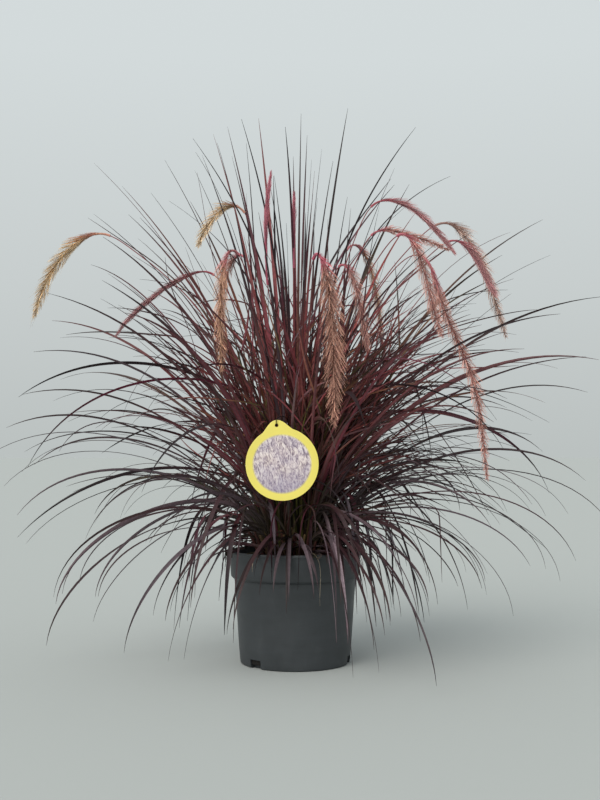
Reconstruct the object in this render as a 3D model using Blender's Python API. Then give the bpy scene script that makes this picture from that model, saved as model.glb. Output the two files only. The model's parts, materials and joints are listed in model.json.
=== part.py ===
"""Potted fountain grass clump: purple fountain grass in a three-litre nursery pot, with its round hang label.

Metres, +Z up. The origin is the centre of the pot's base, on the surface that the pot stands on, and -Y is
the front, where the label hangs. The grass stands as it grows: upright shoots in its heart, arching ones
round them and drooping ones outside, so blades of neighbouring shoots fan out and don't cross.
"""

import math

import bpy
import numpy as np

GAP = 0.0003  # clearance between pieces that touch

# Nursery pot, injection moulded
POT_HEIGHT = 0.160
POT_SIDES = 32
BASE_RADIUS = 0.079
WALL = 0.0020
NECK_RADIUS = 0.0868  # outside of the wall, just under the rim band
BAND_BOTTOM = 0.1205
BAND_RADIUS = 0.0925
RIM_RADIUS = 0.0950
FLOOR_TOP = 0.0050  # inside of the pot's base
FOOT_GROOVE = 0.0030  # how far the base is raised between its centre pad and its foot ring
NOTCH_COUNT, NOTCH_WIDTH, NOTCH_HEIGHT, FIRST_NOTCH = 3, 0.020, 0.0125, -134.0
NOTCH_DEPTH, NOTCH_INSET = 0.014, 0.0015  # size across the wall, and its middle inside the base
DRAIN_COUNT, DRAIN_RADIUS, DRAIN_CIRCLE, DRAIN_SIDES = 4, 0.0050, 0.044, 12
FIRST_DRAIN = FIRST_NOTCH + 30
OVERCUT = 0.002  # how far a cutter stands out of the surface that it cuts

# Potting mix and the crown that the shoots grow from
SOIL_TOP = 0.1470
CROWN_RADIUS, CROWN_HEIGHT, CROWN_SIDES = 0.052, 0.012, 24
CROWN_TOP = SOIL_TOP + GAP + CROWN_HEIGHT
FOOT_LEVEL = CROWN_TOP + GAP

# Hang label: a round printed tag with a tab, on a loop round one leaf blade
LABEL_RADIUS, LABEL_THICKNESS = 0.0490, 0.0010
LABEL_CENTRE = (-0.0170, -0.1180, 0.2840)
LABEL_LEAN = 8.0  # degrees, tab towards the left
TAB_RISE, TAB_HALF_ANGLE = 0.0105, 27.0
HOLE_RADIUS, HOLE_REACH = 0.0024, 0.0525
TIE_RADIUS, TIE_HALF_WIDTH, TIE_HALF_LOOP, TIE_FRONT = 0.0006, 0.0085, 0.0047, 0.0032
TIE_AZIMUTH, TIE_BACK_REACH, TIE_BACK_RISE = 259.6, 0.0805, 0.002
LABEL_SIDES, HOLE_SIDES, TIE_STEPS, TIE_SIDES = 48, 14, 24, 6

# Shoots: radius of the ring that each kind stands on
HEART_RING, STEM_RING, MIDDLE_RING, OUTER_RING = 0.0140, 0.0225, 0.0315, 0.0430
SHEATH_RADIUS, SHEATH_HEIGHT, SHEATH_SIDES = 0.0032, 0.034, 6
SHEATH_LEAN, LEAN_GROWTH = 0.10, 6.0  # outward lean of a heart shoot, and its growth per metre from the heart
FIRST_BLADE, BLADE_SPACING = 0.25, 0.09  # where blades part from their sheath, as shares of its height
BLADE_WIDTH, BLADE_KEEL, BLADE_STEPS = 0.0046, 0.0017, 5
ROOT_STEEPNESS, TIP_HANG = 0.60, 0.75  # of the angle between a blade's chord and the upright
ROOT_PULL, TIP_PULL = 0.38, 0.34  # how far the arc follows its end directions, as shares of the chord
STEEPEST_TIP = -84.0
TAPER_START, TIP_NARROWING = 0.25, 0.88
STEM_RADIUS, STEM_TAPER, STEM_SIDES, STEM_STEPS = 0.0012, 0.6, 4, 5
STEM_BENDS = ((0.0, 0.0), (0.12, 0.33), (0.45, 0.74))  # shares of the way out and up to the plume's base
PLUME_END_RADIUS, PLUME_SIDES, PLUME_STEPS = 0.0006, 5, 7
STEPS_BETWEEN_KNOTS, ROUTE_STEPS = 24, 400

# Leaf tufts: ring, azimuth in degrees, then each blade's tip as (azimuth, reach from the axis, height)
LEAF_TUFTS = [
    (HEART_RING, 28, [
        (22, 0.085, 0.815), (20, 0.16, 0.73), (38, 0.25, 0.69), (28, 0.20, 0.715), (32, 0.27, 0.66),
    ]),
    (HEART_RING, 85, [
        (70, 0.12, 0.775), (78, 0.17, 0.71), (92, 0.10, 0.76), (74, 0.28, 0.65), (95, 0.27, 0.63),
    ]),
    (HEART_RING, 150, [
        (135, 0.14, 0.76), (140, 0.22, 0.70), (150, 0.29, 0.64), (146, 0.19, 0.74), (162, 0.27, 0.665),
    ]),
    (HEART_RING, 189, [
        (189, 0.12, 0.76), (190, 0.29, 0.71), (188, 0.25, 0.68), (189, 0.19, 0.72), (187, 0.29, 0.64),
    ]),
    (HEART_RING, 224, [
        (224, 0.13, 0.75), (222, 0.07, 0.775), (226, 0.18, 0.70), (221, 0.25, 0.64), (225, 0.28, 0.60),
    ]),
    (HEART_RING, 277, [
        (277, 0.07, 0.775), (278, 0.12, 0.73), (277, 0.18, 0.68), (276, 0.24, 0.65), (278, 0.28, 0.60),
    ]),
    (MIDDLE_RING, 0, [
        (11, 0.385, 0.655), (358, 0.37, 0.585), (17, 0.335, 0.605), (344, 0.45, 0.51), (23, 0.46, 0.435),
    ]),
    (MIDDLE_RING, 60, [
        (40, 0.42, 0.53), (52, 0.38, 0.60), (67, 0.43, 0.48), (76, 0.36, 0.62), (46, 0.46, 0.40),
    ]),
    (MIDDLE_RING, 120, [
        (98, 0.41, 0.55), (112, 0.44, 0.46), (131, 0.39, 0.58), (105, 0.46, 0.38), (138, 0.43, 0.50),
    ]),
    (MIDDLE_RING, 175, [
        (158, 0.42, 0.51), (168, 0.29, 0.57), (185, 0.28, 0.52), (190, 0.385, 0.38), (150, 0.45, 0.42),
    ]),
    (MIDDLE_RING, 228, [
        (215, 0.38, 0.50), (222, 0.42, 0.42), (240, 0.39, 0.46), (228, 0.42, 0.36), (230, 0.36, 0.56),
    ]),
    (MIDDLE_RING, 300, [
        (300, 0.40, 0.45), (323, 0.41, 0.47), (304, 0.43, 0.36), (337, 0.43, 0.42), (276, 0.38, 0.46),
    ]),
    (OUTER_RING, 20, [
        (8, 0.445, 0.39), (28, 0.46, 0.30), (14, 0.37, 0.21), (20, 0.30, 0.10), (35, 0.43, 0.20),
    ]),
    (OUTER_RING, 65, [
        (52, 0.42, 0.26), (62, 0.45, 0.33), (72, 0.36, 0.13), (58, 0.25, 0.05), (79, 0.42, 0.22),
    ]),
    (OUTER_RING, 110, [
        (95, 0.43, 0.30), (103, 0.38, 0.16), (117, 0.45, 0.25), (110, 0.22, 0.04), (124, 0.34, 0.10),
    ]),
    (OUTER_RING, 152, [
        (142, 0.43, 0.34), (149, 0.38, 0.20), (160, 0.44, 0.28), (165, 0.34, 0.10), (155, 0.24, 0.05),
    ]),
    (OUTER_RING, 188, [
        (182, 0.415, 0.335), (176, 0.43, 0.25), (194, 0.435, 0.29), (187, 0.35, 0.03), (199, 0.33, 0.11),
    ]),
    (OUTER_RING, 222, [
        (208, 0.40, 0.22), (216, 0.37, 0.12), (225, 0.30, 0.05), (233, 0.40, 0.20), (212, 0.20, 0.02),
    ]),
    (OUTER_RING, 262, [
        (246, 0.21, 0.07), (254, 0.165, 0.115), (267, 0.15, 0.105), (279, 0.16, 0.11), (259, 0.235, 0.60),
    ]),
    (OUTER_RING, 302, [
        (294, 0.255, 0.03), (306, 0.295, 0.015), (318, 0.36, 0.10), (301, 0.33, 0.12), (311, 0.42, 0.24),
    ]),
    (OUTER_RING, 343, [
        (335, 0.40, 0.16), (345, 0.44, 0.20), (353, 0.41, 0.26), (349, 0.27, 0.12), (359, 0.38, 0.115),
    ]),
]

# Flower stems: foot azimuth, plume azimuth, greatest plume radius, then the plume's own route from its base to
# its tip as (reach from the axis, height)
FLOWER_STEMS = [
    (180, 180, 0.0070, [
        (0.270, 0.619), (0.294, 0.620), (0.318, 0.607), (0.343, 0.585), (0.366, 0.542), (0.380, 0.497),
    ]),
    (197, 200, 0.0055, [
        (0.075, 0.647), (0.091, 0.656), (0.109, 0.651), (0.124, 0.635), (0.137, 0.614), (0.146, 0.591),
    ]),
    (213, 205, 0.0040, [
        (0.124, 0.553), (0.146, 0.554), (0.168, 0.544), (0.198, 0.527), (0.247, 0.484), (0.266, 0.458),
    ]),
    (236, 235, 0.0070, [
        (0.134, 0.573), (0.153, 0.576), (0.170, 0.540), (0.172, 0.501), (0.171, 0.455), (0.168, 0.408),
    ]),
    (252, 246, 0.0024, [
        (0.094, 0.530), (0.098, 0.575), (0.098, 0.625), (0.085, 0.690),
    ]),
    (268, 268, 0.0024, [
        (0.050, 0.560), (0.050, 0.610), (0.045, 0.668),
    ]),
    (285, 288, 0.0125, [
        (0.080, 0.574), (0.102, 0.575), (0.127, 0.555), (0.155, 0.500), (0.165, 0.420), (0.168, 0.335),
    ]),
    (300, 308, 0.0055, [
        (0.097, 0.563), (0.118, 0.553), (0.131, 0.538), (0.140, 0.511), (0.152, 0.465), (0.159, 0.435),
    ]),
    (312, 315, 0.0070, [
        (0.193, 0.594), (0.217, 0.582), (0.232, 0.557), (0.245, 0.517), (0.256, 0.480), (0.267, 0.448),
    ]),
    (324, 330, 0.0065, [
        (0.195, 0.582), (0.226, 0.507), (0.251, 0.449), (0.267, 0.417), (0.281, 0.368), (0.292, 0.264),
    ]),
    (336, 336, 0.0045, [
        (0.116, 0.610), (0.140, 0.613), (0.163, 0.607), (0.184, 0.600), (0.232, 0.577),
    ]),
    (348, 344, 0.0040, [
        (0.111, 0.655), (0.133, 0.662), (0.154, 0.656), (0.176, 0.645), (0.212, 0.606), (0.233, 0.578),
    ]),
    (359, 352, 0.0050, [
        (0.221, 0.605), (0.240, 0.599), (0.258, 0.580), (0.272, 0.554), (0.286, 0.526),
    ]),
    (11, 5, 0.0065, [
        (0.207, 0.639), (0.236, 0.639), (0.268, 0.600), (0.283, 0.571), (0.293, 0.535), (0.313, 0.470),
    ]),
    (58, 58, 0.0070, [
        (0.150, 0.620), (0.180, 0.635), (0.210, 0.625), (0.240, 0.590), (0.262, 0.530), (0.272, 0.470),
    ]),
    (125, 122, 0.0075, [
        (0.140, 0.600), (0.165, 0.617), (0.195, 0.610), (0.222, 0.570), (0.238, 0.510), (0.246, 0.440),
    ]),
]


def clear_scene():
    for old in list(bpy.data.objects):
        bpy.data.objects.remove(old, do_unlink=True)


def make_material(name, colour, roughness):
    """A plain Principled finish from an sRGB hex colour."""
    material = bpy.data.materials.new(name)
    material.use_nodes = True
    srgb = [int(colour[i : i + 2], 16) / 255 for i in (0, 2, 4)]
    linear = [(c / 12.92) if c < 0.04045 else ((c + 0.055) / 1.055) ** 2.4 for c in srgb]
    shader = material.node_tree.nodes["Principled BSDF"]
    shader.inputs["Base Color"].default_value = (*linear, 1.0)
    shader.inputs["Roughness"].default_value = roughness
    material.diffuse_color = (*linear, 1.0)
    return material


def add_piece(name, points, faces, material):
    mesh = bpy.data.meshes.new(name)
    mesh.from_pydata([tuple(p) for p in points], [], faces)
    mesh.update()
    mesh.shade_smooth()
    mesh.set_sharp_from_angle(angle=math.radians(35))
    mesh.materials.append(material)
    piece = bpy.data.objects.new(name, mesh)
    bpy.context.scene.collection.objects.link(piece)
    return piece


def hide_cutter(piece):
    piece.hide_render = True
    piece.display_type = "WIRE"


def place(azimuth, reach, height):
    """The point at an azimuth in degrees, a reach from the axis and a height."""
    angle = math.radians(azimuth)
    return np.array([reach * math.cos(angle), reach * math.sin(angle), height])


def turned(profile, sides):
    """A body of revolution: the profile runs (radius, height) from the axis at the bottom, up the outside and
    back to the axis, so that its faces point out."""
    points, rings = [], []
    for radius, height in profile:
        if radius == 0.0:
            rings.append([len(points)] * sides)
            points.append((0.0, 0.0, height))
            continue
        rings.append([len(points) + i for i in range(sides)])
        for i in range(sides):
            angle = 2 * math.pi * i / sides
            points.append((radius * math.cos(angle), radius * math.sin(angle), height))
    faces = []
    for low, high in zip(rings, rings[1:]):
        for i in range(sides):
            j = (i + 1) % sides
            corners = [low[i], low[j], high[j], high[i]]
            faces.append(tuple(dict.fromkeys(corners)))
    return points, faces


def stacked(rings):
    """A closed body from rings of points of equal count, wound anticlockwise as seen from the last ring."""
    count = len(rings[0])
    points = [point for ring in rings for point in ring]
    faces = [tuple(reversed(range(count)))]
    for k in range(len(rings) - 1):
        low, high = k * count, (k + 1) * count
        for i in range(count):
            j = (i + 1) % count
            faces.append((low + i, low + j, high + j, high + i))
    last = (len(rings) - 1) * count
    faces.append(tuple(last + i for i in range(count)))
    return points, faces


def smooth_route(knots, steps):
    """Points at even distances along a Catmull-Rom curve through the knots."""
    knots = np.array(knots)
    padded = np.vstack([2 * knots[0] - knots[1], knots, 2 * knots[-1] - knots[-2]])
    fine = []
    for a, b, c, d in zip(padded, padded[1:], padded[2:], padded[3:]):
        slope, bend, turn = c - a, 2 * a - 5 * b + 4 * c - d, 3 * b - a - 3 * c + d
        for t in np.linspace(0, 1, STEPS_BETWEEN_KNOTS, endpoint=False):
            fine.append((2 * b + slope * t + bend * t**2 + turn * t**3) / 2)
    fine = np.array(fine + [knots[-1]])
    length = np.concatenate([[0], np.cumsum(np.linalg.norm(np.diff(fine, axis=0), axis=1))])
    wanted = np.linspace(0, length[-1], steps + 1)
    return np.column_stack([np.interp(wanted, length, fine[:, axis]) for axis in range(3)])


def tube_rings(route, radii, sides, level_start=False):
    """Rings square to the route; the first can lie level instead, for a foot that stands on a flat top."""
    tangents = np.gradient(route, axis=0)
    if level_start:
        tangents[0] = (0.0, 0.0, 1.0)
    rings = []
    across = np.array([1.0, 0.0, 0.0])
    for centre, tangent, radius in zip(route, tangents, radii):
        along = tangent / np.linalg.norm(tangent)
        across = across - along * across.dot(along)
        across = across / np.linalg.norm(across)
        other = np.cross(along, across)
        turns = 2 * math.pi * np.arange(sides) / sides
        rings.append([centre + radius * (math.cos(t) * across + math.sin(t) * other) for t in turns])
    return rings


def pot_profile():
    """Outline of the pot's section: base with centre pad and foot ring, wall, rim band, and back inside."""
    rim = POT_HEIGHT
    return [
        (0.0, 0.0),
        (0.022, 0.0),
        (0.025, FOOT_GROOVE),
        (0.063, FOOT_GROOVE),
        (0.066, 0.0),
        (BASE_RADIUS - 0.0025, 0.0),
        (BASE_RADIUS, 0.0025),
        (NECK_RADIUS, BAND_BOTTOM - 0.001),
        (BAND_RADIUS - 0.0030, BAND_BOTTOM),
        (BAND_RADIUS - 0.0006, BAND_BOTTOM + 0.0025),
        (BAND_RADIUS, BAND_BOTTOM + 0.0070),
        (RIM_RADIUS - 0.0008, rim - 0.0040),
        (RIM_RADIUS, rim - 0.0022),
        (RIM_RADIUS - 0.0008, rim),
        (RIM_RADIUS - 0.0030, rim),
        (RIM_RADIUS - 0.0036, rim - 0.0040),
        (BAND_RADIUS - WALL, BAND_BOTTOM + 0.0070),
        (NECK_RADIUS - WALL, BAND_BOTTOM + 0.0015),
        (BASE_RADIUS - WALL, FLOOR_TOP),
        (0.0, FLOOR_TOP),
    ]


def box_points(centre, size, azimuth):
    """Corners of a box whose sides run along and across an azimuth."""
    angle = math.radians(azimuth)
    out = np.array([math.cos(angle), math.sin(angle), 0.0])
    side = np.array([-math.sin(angle), math.cos(angle), 0.0])
    up = np.array([0.0, 0.0, 1.0])
    low, high = [], []
    for a, b in ((-1, -1), (1, -1), (1, 1), (-1, 1)):
        flat = centre + out * a * size[0] / 2 + side * b * size[1] / 2
        low.append(flat - up * size[2] / 2)
        high.append(flat + up * size[2] / 2)
    return [low, high]


def make_drain_cutter(material):
    """Everything that is cut out of the pot: notches in its bottom corner and round holes in its base."""
    points, faces, bodies = [], [], []
    for k in range(NOTCH_COUNT):
        azimuth = FIRST_NOTCH + k * 360 / NOTCH_COUNT
        centre = place(azimuth, BASE_RADIUS - NOTCH_INSET, (NOTCH_HEIGHT - OVERCUT) / 2)
        size = (NOTCH_DEPTH, NOTCH_WIDTH, NOTCH_HEIGHT + OVERCUT)
        bodies.append(stacked(box_points(centre, size, azimuth)))
    for k in range(DRAIN_COUNT):
        azimuth = FIRST_DRAIN + k * 360 / DRAIN_COUNT
        route = [place(azimuth, DRAIN_CIRCLE, height) for height in (-OVERCUT, FLOOR_TOP + OVERCUT)]
        bodies.append(stacked(tube_rings(np.array(route), [DRAIN_RADIUS] * 2, DRAIN_SIDES)))
    for body_points, body_faces in bodies:
        start = len(points)
        points += body_points
        faces += [tuple(start + i for i in face) for face in body_faces]
    cutter = add_piece("drain_cutter", points, faces, material)
    hide_cutter(cutter)
    return cutter


def make_pot(material):
    points, faces = turned(pot_profile(), POT_SIDES)
    pot = add_piece("pot", points, faces, material)
    cut = pot.modifiers.new("drain openings", "BOOLEAN")
    cut.operation = "DIFFERENCE"
    cut.solver = "EXACT"
    cut.object = make_drain_cutter(material)
    return pot


def make_potting_mix(material):
    """The mix fills the pot to about 13 mm under its rim."""
    wall = WALL + 2 * GAP
    step = BAND_BOTTOM + 0.0015
    slope = (RIM_RADIUS - 0.0036 - BAND_RADIUS + WALL) / (POT_HEIGHT - BAND_BOTTOM - 0.0110)
    edge = BAND_RADIUS - wall + slope * (SOIL_TOP - BAND_BOTTOM - 0.0070)
    profile = [
        (0.0, FLOOR_TOP + GAP),
        (BASE_RADIUS - wall, FLOOR_TOP + GAP),
        (NECK_RADIUS - wall, step),
        (BAND_RADIUS - wall, BAND_BOTTOM + 0.0070 + GAP),
        (edge, SOIL_TOP - 0.002),
        (edge - 0.004, SOIL_TOP),
        (0.0, SOIL_TOP),
    ]
    return add_piece("potting_mix", *turned(profile, POT_SIDES), material)


def make_crown(material):
    """The knot of shoot bases that stands on the mix."""
    low = SOIL_TOP + GAP
    profile = [
        (0.0, low),
        (CROWN_RADIUS, low),
        (CROWN_RADIUS - 0.001, low + CROWN_HEIGHT / 2),
        (CROWN_RADIUS - 0.004, CROWN_TOP),
        (0.0, CROWN_TOP),
    ]
    return add_piece("grass_crown", *turned(profile, CROWN_SIDES), material)


def blade_route(root, tip, azimuth):
    """A cubic arc in one upright plane: steeper than its chord at the root, and hanging past it at the tip."""
    chord = tip - root
    length = np.linalg.norm(chord)
    rise = math.degrees(math.asin(chord[2] / length))
    start = math.radians(rise + ROOT_STEEPNESS * (90 - rise))
    end = math.radians(max(rise - TIP_HANG * (90 - rise), STEEPEST_TIP))
    start_way = place(azimuth, math.cos(start), math.sin(start))
    end_way = place(azimuth, math.cos(end), math.sin(end))
    a = root + start_way * ROOT_PULL * length
    b = tip - end_way * TIP_PULL * length
    t = np.linspace(0, 1, BLADE_STEPS + 1)[:, None] ** 0.9
    return (1 - t) ** 3 * root + 3 * (1 - t) ** 2 * t * a + 3 * (1 - t) * t**2 * b + t**3 * tip


def blade_rings(route, azimuth):
    """Three-cornered sections: two edges across the blade, and a keel under it."""
    angle = math.radians(azimuth)
    across = np.array([-math.sin(angle), math.cos(angle), 0.0])
    tangents = np.gradient(route, axis=0)
    rings = []
    for k, (centre, tangent) in enumerate(zip(route, tangents)):
        share = k / (len(route) - 1)
        taper = max(0.0, share - TAPER_START) / (1 - TAPER_START)
        full = min(1.0, 0.65 + share) * (1 - TIP_NARROWING * taper)
        along = tangent / np.linalg.norm(tangent)
        over = np.cross(across, along)
        over = -over if over[2] < 0 else over
        half = across * BLADE_WIDTH / 2 * full
        keel = over * BLADE_KEEL * full
        ring = [centre - half, centre + half, centre - keel]
        turn = np.dot(np.cross(ring[1] - ring[0], ring[2] - ring[0]), along)
        rings.append(ring if turn > 0 else [ring[1], ring[0], ring[2]])
    return rings


def make_leaf_tuft(number, ring, azimuth, tips, material):
    """One shoot: its leaf sheath, and the blades that part from it, joined to it by a Boolean."""
    name = f"leaf_tuft_{number:02d}"
    foot = place(azimuth, ring, FOOT_LEVEL)
    lean = SHEATH_LEAN + LEAN_GROWTH * (ring - HEART_RING)
    top = foot + place(azimuth, SHEATH_HEIGHT * lean, SHEATH_HEIGHT)
    sheath_rings = []
    for centre, radius in ((foot, SHEATH_RADIUS), (top, SHEATH_RADIUS * 0.7)):
        turns = 2 * math.pi * np.arange(SHEATH_SIDES) / SHEATH_SIDES
        sheath_rings.append([centre + radius * np.array([math.cos(t), math.sin(t), 0.0]) for t in turns])
    sheath = add_piece(name, *stacked(sheath_rings), material)
    blades = bpy.data.collections.new(name + "_blades")
    bpy.context.scene.collection.children.link(blades)
    for k, (blade_azimuth, reach, height) in enumerate(tips):
        root = foot + (top - foot) * (FIRST_BLADE + BLADE_SPACING * k)
        tip = place(blade_azimuth, reach, height)
        heading = math.degrees(math.atan2(tip[1] - root[1], tip[0] - root[0]))
        rings = blade_rings(blade_route(root, tip, heading), heading)
        blade = add_piece(f"{name}_blade_{k + 1}", *stacked(rings), material)
        bpy.context.scene.collection.objects.unlink(blade)
        blades.objects.link(blade)
        hide_cutter(blade)
    join = sheath.modifiers.new("blades", "BOOLEAN")
    join.operation = "UNION"
    join.solver = "EXACT"
    join.operand_type = "COLLECTION"
    join.collection = blades
    return sheath


def stem_knots(foot_azimuth, plume_azimuth, plume):
    """The stem's knots, from its foot through a steep middle to the plume's base, then the plume's own."""
    base_reach, base_height = plume[0]
    way_out, way_up = base_reach - STEM_RING, base_height - FOOT_LEVEL
    outline = [(STEM_RING + out * way_out, FOOT_LEVEL + up * way_up) for out, up in STEM_BENDS]
    knots = []
    for reach, height in outline + plume:
        share = min(1.0, (reach - STEM_RING) / way_out)
        knots.append(place(foot_azimuth + share * (plume_azimuth - foot_azimuth), reach, height))
    return knots


def make_flower_stem(number, foot_azimuth, plume_azimuth, plume_radius, plume, stem_finish, plume_finish):
    """One flower stem and its plume, which is a spindle along the same arching route."""
    fine = smooth_route(stem_knots(foot_azimuth, plume_azimuth, plume), ROUTE_STEPS)
    base = place(plume_azimuth, *plume[0])
    split = int(np.argmin(np.linalg.norm(fine - base, axis=1)))
    step = np.linalg.norm(fine[1] - fine[0])
    skip = max(1, math.ceil(1.5 * GAP / step))
    stem_route = fine[np.linspace(0, split, STEM_STEPS + 1).astype(int)]
    stem_radii = np.linspace(STEM_RADIUS, STEM_RADIUS * STEM_TAPER, STEM_STEPS + 1)
    stem = tube_rings(stem_route, stem_radii, STEM_SIDES, level_start=True)
    add_piece(f"flower_stem_{number:02d}", *stacked(stem), stem_finish)
    plume_route = fine[np.linspace(split + skip, ROUTE_STEPS, PLUME_STEPS + 1).astype(int)]
    share = np.linspace(0, 1, PLUME_STEPS + 1)
    swell = np.minimum(1.0, np.sin(np.pi * share**0.8) ** 0.55 + 0.02)
    radii = PLUME_END_RADIUS + (plume_radius - PLUME_END_RADIUS) * swell
    add_piece(f"flower_plume_{number:02d}", *stacked(tube_rings(plume_route, radii, PLUME_SIDES)), plume_finish)


def label_point(x, height, y):
    """A point of the label, given in its own plane, leant over and put in its place."""
    lean = math.radians(LABEL_LEAN)
    turned_x = x * math.cos(lean) - height * math.sin(lean)
    turned_z = x * math.sin(lean) + height * math.cos(lean)
    return np.array(LABEL_CENTRE) + np.array([turned_x, y, turned_z])


def make_label(material):
    """A disc with a rounded tab, and a round hole in the tab."""
    outline = []
    for k in range(LABEL_SIDES):
        angle = 2 * math.pi * k / LABEL_SIDES
        off_top = abs((math.degrees(angle) - 90 + 180) % 360 - 180)
        rise = TAB_RISE * math.cos(math.pi / 2 * min(1.0, off_top / TAB_HALF_ANGLE)) ** 2
        outline.append((angle, LABEL_RADIUS + rise))
    rings = []
    for y in (LABEL_THICKNESS / 2, -LABEL_THICKNESS / 2):
        rings.append([label_point(r * math.cos(a), r * math.sin(a), y) for a, r in outline])
    label = add_piece("hang_label", *stacked(rings), material)
    hole_rings = []
    for y in (LABEL_THICKNESS, -LABEL_THICKNESS):
        turns = 2 * math.pi * np.arange(HOLE_SIDES) / HOLE_SIDES
        hole_rings.append(
            [label_point(HOLE_RADIUS * math.cos(t), HOLE_REACH + HOLE_RADIUS * math.sin(t), y) for t in turns]
        )
    hole = add_piece("label_hole_cutter", *stacked(hole_rings), material)
    hide_cutter(hole)
    cut = label.modifiers.new("hole", "BOOLEAN")
    cut.operation = "DIFFERENCE"
    cut.solver = "EXACT"
    cut.object = hole
    return label


def make_label_tie(material):
    """A closed loop of thin tie. In front it stands upright, through the label's hole and back over the tab;
    it turns level on its way back, and passes behind the leaf blade that carries the label."""
    front = label_point(0.0, HOLE_REACH + TIE_HALF_LOOP, -TIE_FRONT)
    back = place(TIE_AZIMUTH, TIE_BACK_REACH, front[2] + TIE_BACK_RISE)
    middle, half = (front + back) / 2, (back - front) / 2
    up = np.array([0.0, 0.0, 1.0])
    level = np.cross(half, up) / np.linalg.norm(half)
    points, faces = [], []
    for k in range(TIE_STEPS):
        angle = 2 * math.pi * k / TIE_STEPS
        twist = math.pi / 2 * (1 - math.cos(angle)) / 2
        side = math.cos(twist) * up + math.sin(twist) * level
        spread = TIE_HALF_WIDTH * math.sin(angle)
        centre = middle - half * math.cos(angle) + side * spread
        out = side * math.sin(angle) - half / np.linalg.norm(half) * math.cos(angle)
        other = np.cross(half / np.linalg.norm(half), side)
        for turn in range(TIE_SIDES):
            tilt = 2 * math.pi * turn / TIE_SIDES
            points.append(centre + TIE_RADIUS * (math.cos(tilt) * out + math.sin(tilt) * other))
    for k in range(TIE_STEPS):
        after = (k + 1) % TIE_STEPS
        for turn in range(TIE_SIDES):
            other = (turn + 1) % TIE_SIDES
            low, high = k * TIE_SIDES, after * TIE_SIDES
            faces.append((low + turn, low + other, high + other, high + turn))
    return add_piece("label_tie", points, faces, material)


def build():
    clear_scene()
    pot_finish = make_material("moulded slate plastic", "434649", 0.5)
    mix_finish = make_material("potting mix", "2B1F19", 0.95)
    crown_finish = make_material("dry shoot bases", "4A3A22", 0.8)
    leaf_finish = make_material("burgundy leaf", "4C2C30", 0.5)
    stem_finish = make_material("red-brown stem", "7A3A38", 0.5)
    plume_finish = make_material("tan flower bristle", "A87460", 0.9)
    label_finish = make_material("yellow label plastic", "ECE04A", 0.4)
    tie_finish = make_material("olive tie", "5A5A28", 0.6)
    make_pot(pot_finish)
    make_potting_mix(mix_finish)
    make_crown(crown_finish)
    for number, (ring, azimuth, tips) in enumerate(LEAF_TUFTS, 1):
        make_leaf_tuft(number, ring, azimuth, tips, leaf_finish)
    for number, (foot_azimuth, plume_azimuth, radius, plume) in enumerate(FLOWER_STEMS, 1):
        make_flower_stem(number, foot_azimuth, plume_azimuth, radius, plume, stem_finish, plume_finish)
    make_label(label_finish)
    make_label_tie(tie_finish)


build()
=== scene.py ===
"""Looks of a potted clump of purple fountain grass: a slate-grey nursery pot, bark mix, crowded shoot bases,
burgundy leaf blades, bristly flower plumes and a round yellow hang label.

Metres, +Z up, and -Y is the front. Shapes are grids of points worked out with numpy: mostly a section carried
along a path, or a profile turned round the pot's axis.
"""

import json
import math

import bpy
import numpy as np
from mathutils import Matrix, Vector

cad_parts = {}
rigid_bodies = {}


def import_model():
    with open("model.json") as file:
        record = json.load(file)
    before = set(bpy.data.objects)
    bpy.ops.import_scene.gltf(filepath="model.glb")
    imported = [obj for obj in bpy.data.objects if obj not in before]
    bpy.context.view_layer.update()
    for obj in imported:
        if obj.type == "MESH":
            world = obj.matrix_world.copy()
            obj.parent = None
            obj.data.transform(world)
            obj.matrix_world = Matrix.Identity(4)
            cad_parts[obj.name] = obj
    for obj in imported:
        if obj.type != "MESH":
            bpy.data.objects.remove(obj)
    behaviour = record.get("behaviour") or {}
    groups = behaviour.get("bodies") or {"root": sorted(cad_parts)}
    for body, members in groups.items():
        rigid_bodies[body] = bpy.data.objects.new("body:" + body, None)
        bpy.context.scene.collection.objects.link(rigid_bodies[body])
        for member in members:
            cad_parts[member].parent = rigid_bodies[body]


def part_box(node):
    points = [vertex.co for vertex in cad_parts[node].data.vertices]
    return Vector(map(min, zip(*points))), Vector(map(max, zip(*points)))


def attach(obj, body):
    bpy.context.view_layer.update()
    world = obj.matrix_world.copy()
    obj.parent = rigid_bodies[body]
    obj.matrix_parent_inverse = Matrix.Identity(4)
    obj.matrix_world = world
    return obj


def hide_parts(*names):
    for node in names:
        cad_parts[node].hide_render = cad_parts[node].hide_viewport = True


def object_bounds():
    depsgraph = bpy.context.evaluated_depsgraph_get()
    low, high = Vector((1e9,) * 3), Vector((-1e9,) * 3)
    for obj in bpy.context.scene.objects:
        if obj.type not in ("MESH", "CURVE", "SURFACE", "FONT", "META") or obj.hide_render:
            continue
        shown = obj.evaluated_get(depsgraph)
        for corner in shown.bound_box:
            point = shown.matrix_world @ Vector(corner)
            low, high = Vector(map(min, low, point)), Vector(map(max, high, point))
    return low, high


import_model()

cad_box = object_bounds()

# Places that the frame gives
POT_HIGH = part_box("pot")[1]
MIX_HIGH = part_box("potting_mix")[1]
CROWN_LOW, CROWN_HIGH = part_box("grass_crown")
RIM_RADIUS = POT_HIGH.x
RIM_TOP = POT_HIGH.z
MIX_TOP = MIX_HIGH.z
CROWN_TOP = CROWN_HIGH.z
CROWN_RADIUS = CROWN_HIGH.x
FOOT_LEVEL = CROWN_TOP + 0.0003

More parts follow.
